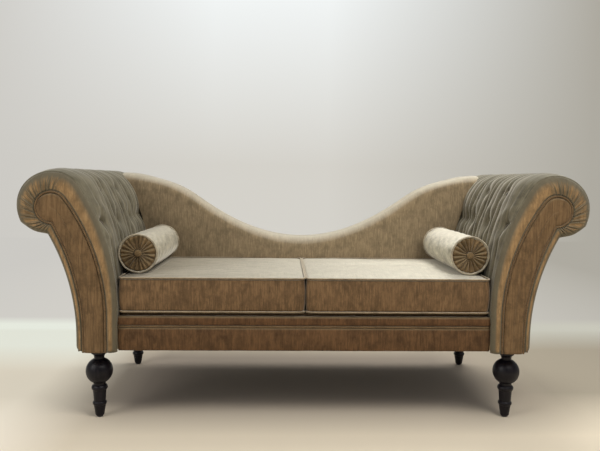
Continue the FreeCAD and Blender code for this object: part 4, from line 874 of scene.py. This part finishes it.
rear_columns = []
half_width = ROLL_X + ROLL_RADIUS - PANEL_INSET - 0.0005
stops = np.concatenate([np.linspace(0, 0.74, 70), (0.7445, 0.7455), np.linspace(0.75, half_width, 40)])
stops = np.concatenate([-stops[::-1][:-1], stops])
for x in stops:
    low, high = rear_foot(x), rear_top(x)
    column = []
    for share in eased(46):
        height = low + share * max(high - low, 0.001)
        near_edge = min(height - low, high - height, half_width - abs(x))
        fall = PANEL_FALL * edge_fall(near_edge, 0.008)
        bulge = PANEL_BULGE * math.sin(math.pi * share) * (1 - (x / half_width) ** 2)
        column.append((x, PANEL_REAR - fall + bulge, height))
    column += [(x, PANEL_FRONT, high), (x, PANEL_FRONT, low)]
    rear_columns.append(column)
rear_grid = np.array(rear_columns)
outside_velvet = velvet("velvet_outside_back", (0.15, 0.105, 0.058), (0.26, 0.21, 0.13), ALONG_Y_STREAKS,
                        sheen=0.45, streak=0.3, crush=0.45)
outside_back = new_piece("outside_back", *as_tube(rear_grid), outside_velvet, "frame", "velvet",
                         ["back_outer_panel"])


# Front border: two padded strips across the front rail, the upper one narrow and the lower
# one deep, with a covered cord sewn into the seam between them.
BORDER_ROUND, BORDER_CROWN = 0.007, 0.003


def border_strip(low, high, name, material, node):
    """A padded strip with a softly crowned face and rounded long edges."""
    section = []
    for share in eased(22):
        level = low.z + share * (high.z - low.z)
        near_edge = min(level - low.z, high.z - level)
        fall = BORDER_ROUND * edge_fall(near_edge, BORDER_ROUND)
        section.append((fall - BORDER_CROWN * math.cos(math.pi * (share - 0.5)), level))
    rows = []
    for x in np.linspace(low.x, high.x, 260):
        ripple = 0.0008 * math.sin(x * 37) * math.sin(x * 11 + 1)
        row = [(x, low.y + depth + ripple, level) for depth, level in section]
        row += [(x, high.y - 0.0003, high.z), (x, high.y - 0.0003, low.z)]
        rows.append(row)
    strip = new_piece(name, *as_tube(np.array(rows)), material, "frame", "velvet", [node])


upper_velvet = velvet("velvet_border_upper", (0.115, 0.057, 0.024), (0.22, 0.16, 0.09), ALONG_Y_STREAKS,
                      sheen=0.35, streak=0.35, crush=0.55)
border_strip(*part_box("front_border_upper"), "upper_border", upper_velvet, "front_border_upper")
lower_velvet = velvet("velvet_border_lower", (0.118, 0.062, 0.027), (0.22, 0.16, 0.09), ALONG_Y_STREAKS,
                      sheen=0.35, streak=0.35, crush=0.55)
border_strip(*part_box("front_border_lower"), "lower_border", lower_velvet, "front_border_lower")
welt_low, welt_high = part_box("front_border_welt")
border_run = [(x, (welt_low.y + welt_high.y) / 2, (welt_low.z + welt_high.z) / 2)
              for x in np.linspace(welt_low.x, welt_high.x, 320)]
new_piece("border_piping", *welt(border_run, WELT_RADIUS), piping_velvet, "frame", "velvet_piping",
          ["front_border_welt"])

# Seat cushions: loose foam slabs wrapped in fibre, in boxed velvet covers that are piped
# along both edges. The fibre crowns the top, and the corners stay a little slack.
CUSHION_FRONT, CUSHION_REAR, CUSHION_TOP, CUSHION_FOOT = -0.338, 0.217, 0.481, 0.364
CUSHION_INSIDE, CUSHION_OUTSIDE, CUSHION_CORNER, CUSHION_WELT = 0.0003, 0.6127, 0.022, 0.0032
BOX_BULGE, CROWN = 0.0138, 0.010
BOLSTER_X, BOLSTER_RADIUS, BOLSTER_FRONT, BOLSTER_REAR = 0.564, 0.0675, -0.2575, 0.1725
BOLSTER_HEIGHT = 0.5488


def corner_loop(inset, spacing):
    """The cushion's edge seen from above, with rounded corners."""
    low = np.array((CUSHION_INSIDE + inset, CUSHION_FRONT + inset))
    high = np.array((CUSHION_OUTSIDE - inset, CUSHION_REAR - inset))
    radius = CUSHION_CORNER - inset
    loop = []
    for number, ways in enumerate(((1, 1), (-1, 1), (-1, -1), (1, -1))):
        centre = (low + high) / 2 + ((high - low) / 2 - radius) * ways
        for turn in np.radians(np.linspace(number * 90, number * 90 + 90, 9)):
            loop.append(centre + (radius * math.cos(turn), radius * math.sin(turn)))
    return evenly(loop, spacing, closed=True)


def cushion_shape():
    """The cushion as rings: under, round the box and over, drawn in between its seams."""
    outline = corner_loop(CUSHION_WELT * 1.2, 0.006)
    centre = outline.mean(axis=0)
    low, high = CUSHION_FOOT + CUSHION_WELT, CUSHION_TOP - CUSHION_WELT
    under = [(share, low) for share in np.linspace(0.04, 1, 34)]
    over = [(share, high) for share in np.linspace(1, 0.04, 34)]
    box = [(1 + BOX_BULGE * math.sin(math.pi * share), low + share * (high - low))
           for share in np.linspace(0, 1, 18)[1:-1]]
    return np.array([np.column_stack([centre + (outline - centre) * size, np.full(len(outline), level)])
                     for size, level in under + box + over])


def places_of(mesh):
    """Where a mesh's points lie, as an array."""
    places = np.empty(len(mesh.vertices) * 3)
    mesh.vertices.foreach_get("co", places)
    return places.reshape(-1, 3)


def blown(points, faces, voxel=0.006, pressure=4.0, frames=20, furthest=0.011):
    """Lets a closed cover fill like cloth under pressure, held at its pinned seams."""
    mesh = bpy.data.meshes.new("cushion_start")
    mesh.from_pydata([tuple(point) for point in points], [], [list(face) for face in faces])
    start = bpy.data.objects.new("cushion_start", mesh)
    bpy.context.scene.collection.objects.link(start)
    remesh = start.modifiers.new("remesh", "REMESH")
    remesh.mode = "VOXEL"
    remesh.voxel_size = voxel
    graph = bpy.context.evaluated_depsgraph_get()
    even = bpy.data.meshes.new_from_object(start.evaluated_get(graph))
    bpy.data.objects.remove(start)
    cover_piece = bpy.data.objects.new("cushion_cloth", even)
    bpy.context.scene.collection.objects.link(cover_piece)
    before = places_of(even)
    group = cover_piece.vertex_groups.new(name="seams")
    group.add([int(n) for n in np.nonzero(near_seams(before))[0]], 1.0, "REPLACE")
    cloth = cover_piece.modifiers.new("cloth", "CLOTH")
    for key, value in {"quality": 5, "mass": 0.3, "tension_stiffness": 12, "compression_stiffness": 12,
                       "bending_stiffness": 0.4, "use_pressure": True, "vertex_group_mass": "seams",
                       "uniform_pressure_force": pressure}.items():
        setattr(cloth.settings, key, value)
    cloth.settings.effector_weights.gravity = 0
    cloth.collision_settings.use_collision = False
    cloth.point_cache.frame_start = 1
    cloth.point_cache.frame_end = frames
    for number in range(1, frames + 1):
        bpy.context.scene.frame_set(number)
    graph = bpy.context.evaluated_depsgraph_get()
    after_mesh = bpy.data.meshes.new_from_object(cover_piece.evaluated_get(graph))
    shift = places_of(after_mesh) - before
    length = np.linalg.norm(shift, axis=1)
    shift *= (np.minimum(length, furthest) / np.maximum(length, 1e-9))[:, None]
    shown = [tuple(face.vertices) for face in after_mesh.polygons]
    bpy.data.objects.remove(cover_piece)
    bpy.context.scene.frame_set(1)
    return before + shift, shown


def from_edge(points):
    """How far inside the cushion's outline each point lies."""
    x, y = points[:, 0], points[:, 1]
    return np.minimum(np.minimum(x - CUSHION_INSIDE, CUSHION_OUTSIDE - x),
                      np.minimum(y - CUSHION_FRONT, CUSHION_REAR - y))


def near_seams(points):
    """Points of a cushion beside its two piped edges."""
    level = np.minimum(np.abs(points[:, 2] - CUSHION_TOP + CUSHION_WELT),
                       np.abs(points[:, 2] - CUSHION_FOOT - CUSHION_WELT))
    return (from_edge(points) < 0.014) & (level < 0.009)


HIGHEST_CROWN, NEST_DEPTH, ZIP_POCKET = 0.014, 0.0145, 0.0116
POCKET_ENDS, POCKET_EDGES = ((0.060, 0.072), (0.541, 0.553)), ((0.402, 0.411), (0.434, 0.443))


def settled(points):
    """Wrinkles on the top, the bolster's nest, a flat underside and the zip's pocket behind."""
    points = points.copy()
    x, y = points[:, 0], points[:, 1]
    over = smooth(points[:, 2], CUSHION_TOP - 0.012, CUSHION_TOP - 0.004)
    middle = smooth(from_edge(points), 0.008, 0.05)
    folds = np.array([0.0042 * noise.noise(Vector((u * 7, v * 13, 1.7)))
                      + 0.0022 * noise.noise(Vector((u * 21, v * 38, 4.2))) for u, v in zip(x, y)])
    points[:, 2] += over * middle * folds
    nest = smooth(np.abs(x - BOLSTER_X), 0.075, 0.035)
    nest *= swell(y, (BOLSTER_FRONT - 0.03, BOLSTER_FRONT), (BOLSTER_REAR, BOLSTER_REAR + 0.03))
    roof = CUSHION_TOP + HIGHEST_CROWN - nest * NEST_DEPTH
    points[:, 2] = np.where(over > 0, np.minimum(points[:, 2], roof), points[:, 2])
    points[:, 2] = np.maximum(points[:, 2], CUSHION_FOOT + 0.0002)
    points[:, 0] = np.clip(points[:, 0], CUSHION_INSIDE + 0.0006, CUSHION_OUTSIDE)
    by_zip = swell(x, *POCKET_ENDS) * swell(points[:, 2], *POCKET_EDGES)
    points[:, 1] = np.minimum(points[:, 1], CUSHION_REAR - ZIP_POCKET * by_zip)
    return points


cushion_points, cushion_faces = as_tube(cushion_shape())
cushion_points, cushion_faces = blown(cushion_points, cushion_faces)
cushion_points = settled(cushion_points)
# Painted light and shade: the cushion tops are painted pale as lit from above, and darker towards the left as
# painted shade.
seat_velvet = velvet("velvet_seat", (0.165, 0.098, 0.047), (0.66, 0.62, 0.51), ALONG_Y_STREAKS, sheen=0.6,
                     streak=0.35, crush=0.5, up_from=0.3, up_to=0.9, painted_left_shade=((0.37, 0.335, 0.285), -0.6, 0.3))
welt_velvet = velvet("velvet_cushion_piping", (0.22, 0.16, 0.095), (0.42, 0.35, 0.25), (300, 300, 300),
                     sheen=0.6, streak=0.25)
for side in ("right", "left"):
    cushion = new_piece(f"{side}_cushion", cushion_points, cushion_faces, seat_velvet, f"{side}_cushion",
                        "velvet", [f"{side}_seat_cushion"], mirror=side == "left")
    smoother = cushion.modifiers.new("soft", "SUBSURF")
    smoother.levels = smoother.render_levels = 1
welt_loop = corner_loop(CUSHION_WELT * 0.75, 0.005)
welts = [welt(np.column_stack([welt_loop, np.full(len(welt_loop), level)]), CUSHION_WELT, closed=True)
         for level in (CUSHION_TOP - CUSHION_WELT, CUSHION_FOOT + CUSHION_WELT)]
both_sides("cushion_piping", *joined(welts), welt_velvet, "cushion_welts", body="cushion",
           slot="velvet_piping")

# Cushion zips: a woven tape with a nylon coil set into the rear of each box, and an antique
# brass slider on it that runs the zip's whole length.
zip_tape, tree, surface = blank_material("zip_tape", Roughness=0.75, Sheen_Weight=0.2)
teeth = stretched_noise(tree, (1200, 60, 60), detail=1)
grained(tree, surface, teeth, 0.4, 0.6, (0.07, 0.05, 0.03), (0.2, 0.15, 0.1))
bumped(tree, surface, teeth.outputs["Fac"], 0.8, 0.0006)
finish_nodes(zip_tape, "left_cushion_zip", "right_cushion_zip")
finish_nodes(worn_metal("zip_brass", (0.52, 0.42, 0.23), (0.3, 0.22, 0.1), 1.0, (400, 400, 400)),
             "left_zip_slider", "right_zip_slider")

# Bolsters: feather rolls in velvet, piped at both rims. They lie on the cushions against
# the arms, and the cover creases where the hand dents it near the front.
BODY_RADIUS = BOLSTER_RADIUS - 0.0018
bolster_rows = []
for share in np.linspace(0, 1, 150):
    y = BOLSTER_FRONT + 0.0032 + share * (BOLSTER_REAR - BOLSTER_FRONT - 0.0064)
    row = []
    for turn in round_turns(120):
        belly = 0.0016 * math.sin(math.pi * share)
        creases = 0.0016 * math.exp(-share / 0.28)
        creases *= math.sin(turn * 5 + share * 40 + math.sin(turn * 3) * 2)
        creases += 0.0009 * math.sin(turn * 9 + share * 17) * math.sin(share * 23 + turn * 2)
        slack = 0.0012 * math.cos(turn * 7) * (math.exp(-share / 0.05) + math.exp(-(1 - share) / 0.05))
        radius = BODY_RADIUS - 0.0022 + belly + creases - abs(slack)
        x = BOLSTER_X + radius * math.cos(turn)
        z = max(BOLSTER_HEIGHT + radius * math.sin(turn), CUSHION_TOP + 0.0004)
        row.append((x, y, z))
    bolster_rows.append(row)
bolster_rows = np.array(bolster_rows)
bolster_axis = np.array((BOLSTER_X, 0, BOLSTER_HEIGHT))
cups = [(row - bolster_axis) * (0.86, 1, 0.86) + bolster_axis + (0, step, 0)
        for row, step in ((bolster_rows[0], 0.011), (bolster_rows[-1], -0.011))]
bolster_grid = np.concatenate([cups[:1], bolster_rows, cups[1:]])
# Lit and shaded copies of one velvet: the right bolster is painted paler than the left, as painted light from
# the right.
bolster_lit_and_shaded_tones = {"left": ((0.38, 0.34, 0.25), (0.52, 0.475, 0.375), 0.3),
                 "right": ((0.58, 0.54, 0.42), (0.77, 0.72, 0.59), 0.25)}
for side in ("right", "left"):
    front_tone, top_tone, streak = bolster_lit_and_shaded_tones[side]
    bolster_velvet = velvet(f"velvet_{side}_bolster", front_tone, top_tone, ALONG_Y_STREAKS, sheen=0.6,
                            streak=streak, crush=0.6)
    bolster = new_piece(f"{side}_bolster_roll", *as_tube(bolster_grid), bolster_velvet, f"{side}_roll",
                        "velvet", [f"{side}_bolster"], mirror=side == "left")

# Bolster ends: a strip of velvet drawn in by a thread to radial pleats, a covered button
# over the middle, and a covered cord round the rim.
CAP_RADIUS, PLEATS, RIM_WELT = BOLSTER_RADIUS - 0.0066, 20, 0.0032
cap_velvet = velvet("velvet_bolster_end", (0.19, 0.125, 0.06), (0.24, 0.18, 0.1), (240, 240, 240), sheen=0.5,
                    streak=0.35, crush=0.6)
rim_velvet = velvet("velvet_bolster_piping", (0.42, 0.36, 0.26), (0.5, 0.45, 0.35), (300, 300, 300),
                    sheen=0.6, streak=0.2)


def pleated_end(y, outward):
    """A disc of pleats, deep in the middle and level with the rim at its edge."""
    points = []
    around = PLEATS * 12
    for share in np.linspace(0.1, 1, 22):
        for number in range(around):
            turn = 2 * math.pi * number / around
            wave = turn * PLEATS + 0.6 * math.sin(turn * 3) + 0.45 * math.sin(turn * 7 + 1)
            fold = abs(math.sin(wave / 2)) ** 0.8
            height = 0.0085 * fold * min(1, 0.25 + share * 1.6) * min(1, (1.03 - share) * 9) - 0.0045
            hollow = -0.0015 * (1 - share)
            lean = 0.03 * math.sin(wave) * (1 - share)
            radius = CAP_RADIUS * share
            points.append((BOLSTER_X + radius * math.cos(turn + lean), y + outward * (height + hollow),
                           BOLSTER_HEIGHT + radius * math.sin(turn + lean)))
    for number in range(around):
        turn = 2 * math.pi * number / around
        points.append((BOLSTER_X + CAP_RADIUS * math.cos(turn), y - outward * 0.007,
                       BOLSTER_HEIGHT + CAP_RADIUS * math.sin(turn)))
    return points, tube_faces(23, around)


ends, buttons, rims = [], [], []
for y, outward in ((BOLSTER_FRONT, -1), (BOLSTER_REAR, 1)):
    ends.append(pleated_end(y - outward * 0.0035, outward))
    points, faces = dome(0.0125, 0.0045, 0.002)
    buttons.append(([(BOLSTER_X + x, y + outward * (z - 0.0022), BOLSTER_HEIGHT + outward * height)
                     for x, height, z in points], faces))
    turns = round_turns(90)
    reach = (BOLSTER_RADIUS - RIM_WELT) * (1 - 0.012 * np.abs(np.sin(turns * 4 + 0.4)))
    rims.append(welt(np.column_stack([BOLSTER_X + reach * np.cos(turns), np.full(90, y - outward * RIM_WELT),
                                      BOLSTER_HEIGHT + reach * np.sin(turns)]), RIM_WELT, closed=True))
both_sides("pleated_ends", *joined(ends), cap_velvet, "bolster_caps", body="roll")
both_sides("end_buttons", *joined(buttons), cap_velvet, "bolster_buttons", body="roll")
both_sides("rim_piping", *joined(rims), rim_velvet, "bolster_welts", body="roll", slot="velvet_piping")

# Floor and backdrop: a pale warm floor and a paler wall. To the eye the wall shines by its own light,
# brightest over the middle and paler higher up; it lights the piece like any plain wall. The floor carries
# painted shadows under the piece and to its right, and to the eye it shines by painted light behind the piece
# and at the far left.
def paper(name, colour):
    """Plain studio paper with a trace of grain."""
    material, tree, surface = blank_material(name, Roughness=0.9)
    grain = stretched_noise(tree, (3, 3, 3), detail=3)
    grained(tree, surface, grain, 0.0, 1.0, toned(colour, 0.96), colour)
    return material, tree, surface


def plane(name, corners, material):
    """A flat four-sided surface of the studio."""
    mesh = bpy.data.meshes.new(name)
    mesh.from_pydata(corners, [], [(0, 1, 2, 3)])
    mesh.materials.append(material)
    thing = bpy.data.objects.new(name, mesh)
    bpy.context.scene.collection.objects.link(thing)


def seen_glow(tree, surface, colour, share=None):
    """Lets the camera see a surface at a colour of its own, by a share where one is given."""
    light = add_node(tree, "LightPath").outputs
    shown = larger(tree, light["Is Camera Ray"], light["Is Glossy Ray"])
    if share is not None:
        shown = product(tree, shown, share)
    glow = add_node(tree, "Emission", {"Color": colour})
    mixed = add_node(tree, "MixShader", {0: shown, 1: surface.outputs[0], 2: glow.outputs[0]})
    tree.links.new(mixed.outputs[0], tree.nodes["Material Output"].inputs["Surface"])


WALL_Y = 6.0
floor_paper, tree, surface = paper("floor_paper", (0.92, 0.81, 0.63))
spot = spot_values(tree)
plain = surface.inputs["Base Color"].links[0].from_socket
# Painted shadow: the floor is darkened to the right of the piece, towards its front.
right_shadow_share = product(tree, ranged(tree, spot["X"], 0.45, 0.95), ranged(tree, spot["Y"], -0.45, -0.05))
with_right_shadow = blended(tree, right_shadow_share, plain, (0.4, 0.35, 0.27))
# Painted shadow: the floor is darkened under the piece.
under_shadow_left = ranged(tree, spot["X"], -1.0, -0.6)
under_shadow_right = ranged(tree, spot["X"], 1.0, 0.6)
under_shadow_depth = product(tree, ranged(tree, spot["Y"], -0.45, -0.15), ranged(tree, spot["Y"], 0.75, 0.4))
under = product(tree, product(tree, under_shadow_left, under_shadow_right), under_shadow_depth)
tree.links.new(blended(tree, under, with_right_shadow, (0.43, 0.36, 0.29)), surface.inputs["Base Color"])
# Painted light: to the eye the floor shines paler to the left and the front and darker to the right.
near_tone = blended(tree, ranged(tree, spot["X"], 0.2, 1.3), (0.79, 0.82, 0.73), (0.58, 0.57, 0.49))
far_left = blended(tree, ranged(tree, spot["X"], -2.5, -0.6), (0.60, 0.585, 0.55), (0.66, 0.64, 0.59))
far_tone = blended(tree, ranged(tree, spot["X"], 0.3, 2.7), far_left, (0.42, 0.40, 0.35))
front_glow = blended(tree, ranged(tree, spot["Y"], -0.1, -0.5), (0.72, 0.66, 0.54), (0.95, 0.87, 0.73))
glow = blended(tree, ranged(tree, spot["Y"], 0.2, 0.6), front_glow,
               blended(tree, ranged(tree, spot["Y"], 1.04, 1.22), near_tone, far_tone))
left_light_share = ranged(tree, spot["X"], -0.72, -1.02, 0.0, 0.85)
seen_glow(tree, surface, glow, larger(tree, left_light_share, ranged(tree, spot["Y"], 0.55, 0.95)))
plane("floor", [(-8, -8, 0), (8, -8, 0), (8, WALL_Y, 0), (-8, WALL_Y, 0)], floor_paper)
wall_paper, tree, surface = paper("wall_paper", (0.74, 0.75, 0.72))
spot = spot_values(tree)
from_left = ranged(tree, spot["X"], -4.2, -1.0)
from_right = ranged(tree, spot["X"], 0.5, 4.1)
higher = ranged(tree, spot["Z"], 1.0, 3.3)
middle = blended(tree, higher, (0.66, 0.64, 0.59), (0.90, 0.93, 0.93))
left_part = blended(tree, from_left, (0.60, 0.585, 0.55), middle)
seen_glow(tree, surface, blended(tree, from_right, left_part, (0.42, 0.40, 0.35)))
plane("wall", [(-8, WALL_Y, 0), (8, WALL_Y, 0), (8, WALL_Y, 7), (-8, WALL_Y, 7)], wall_paper)


# Lamps: a broad soft key over the front right, a weaker fill from the left, a strip behind
# and above for the tops, and a pale room.
def lamp(name, place, target, size, watts, colour=(1, 1, 1)):
    """A square soft box aimed at a point."""
    data = bpy.data.lights.new(name, "AREA")
    data.shape = "SQUARE"
    data.size = size
    data.energy = watts
    data.color = colour
    thing = bpy.data.objects.new(name, data)
    thing.location = place
    thing.rotation_euler = (Vector(target) - Vector(place)).to_track_quat("-Z", "Y").to_euler()
    bpy.context.scene.collection.objects.link(thing)


lamp("key", (1.2, -1.7, 2.7), (0, 0, 0.4), 1.2, 44, (1, 0.97, 0.92))
lamp("fill", (-2.6, -1.9, 1.9), (-0.2, 0, 0.3), 1.8, 34, (1, 0.98, 0.95))
lamp("top", (0.9, 0.9, 2.4), (0.2, -0.1, 0.4), 1.0, 36, (1, 0.99, 0.95))
world = bpy.data.worlds.new("room")
bpy.context.scene.world = world
world.use_nodes = True
world.node_tree.nodes["Background"].inputs["Color"].default_value = (0.9, 0.92, 0.95, 1)
world.node_tree.nodes["Background"].inputs["Strength"].default_value = 0.34
bpy.context.scene.view_settings.view_transform = "Standard"
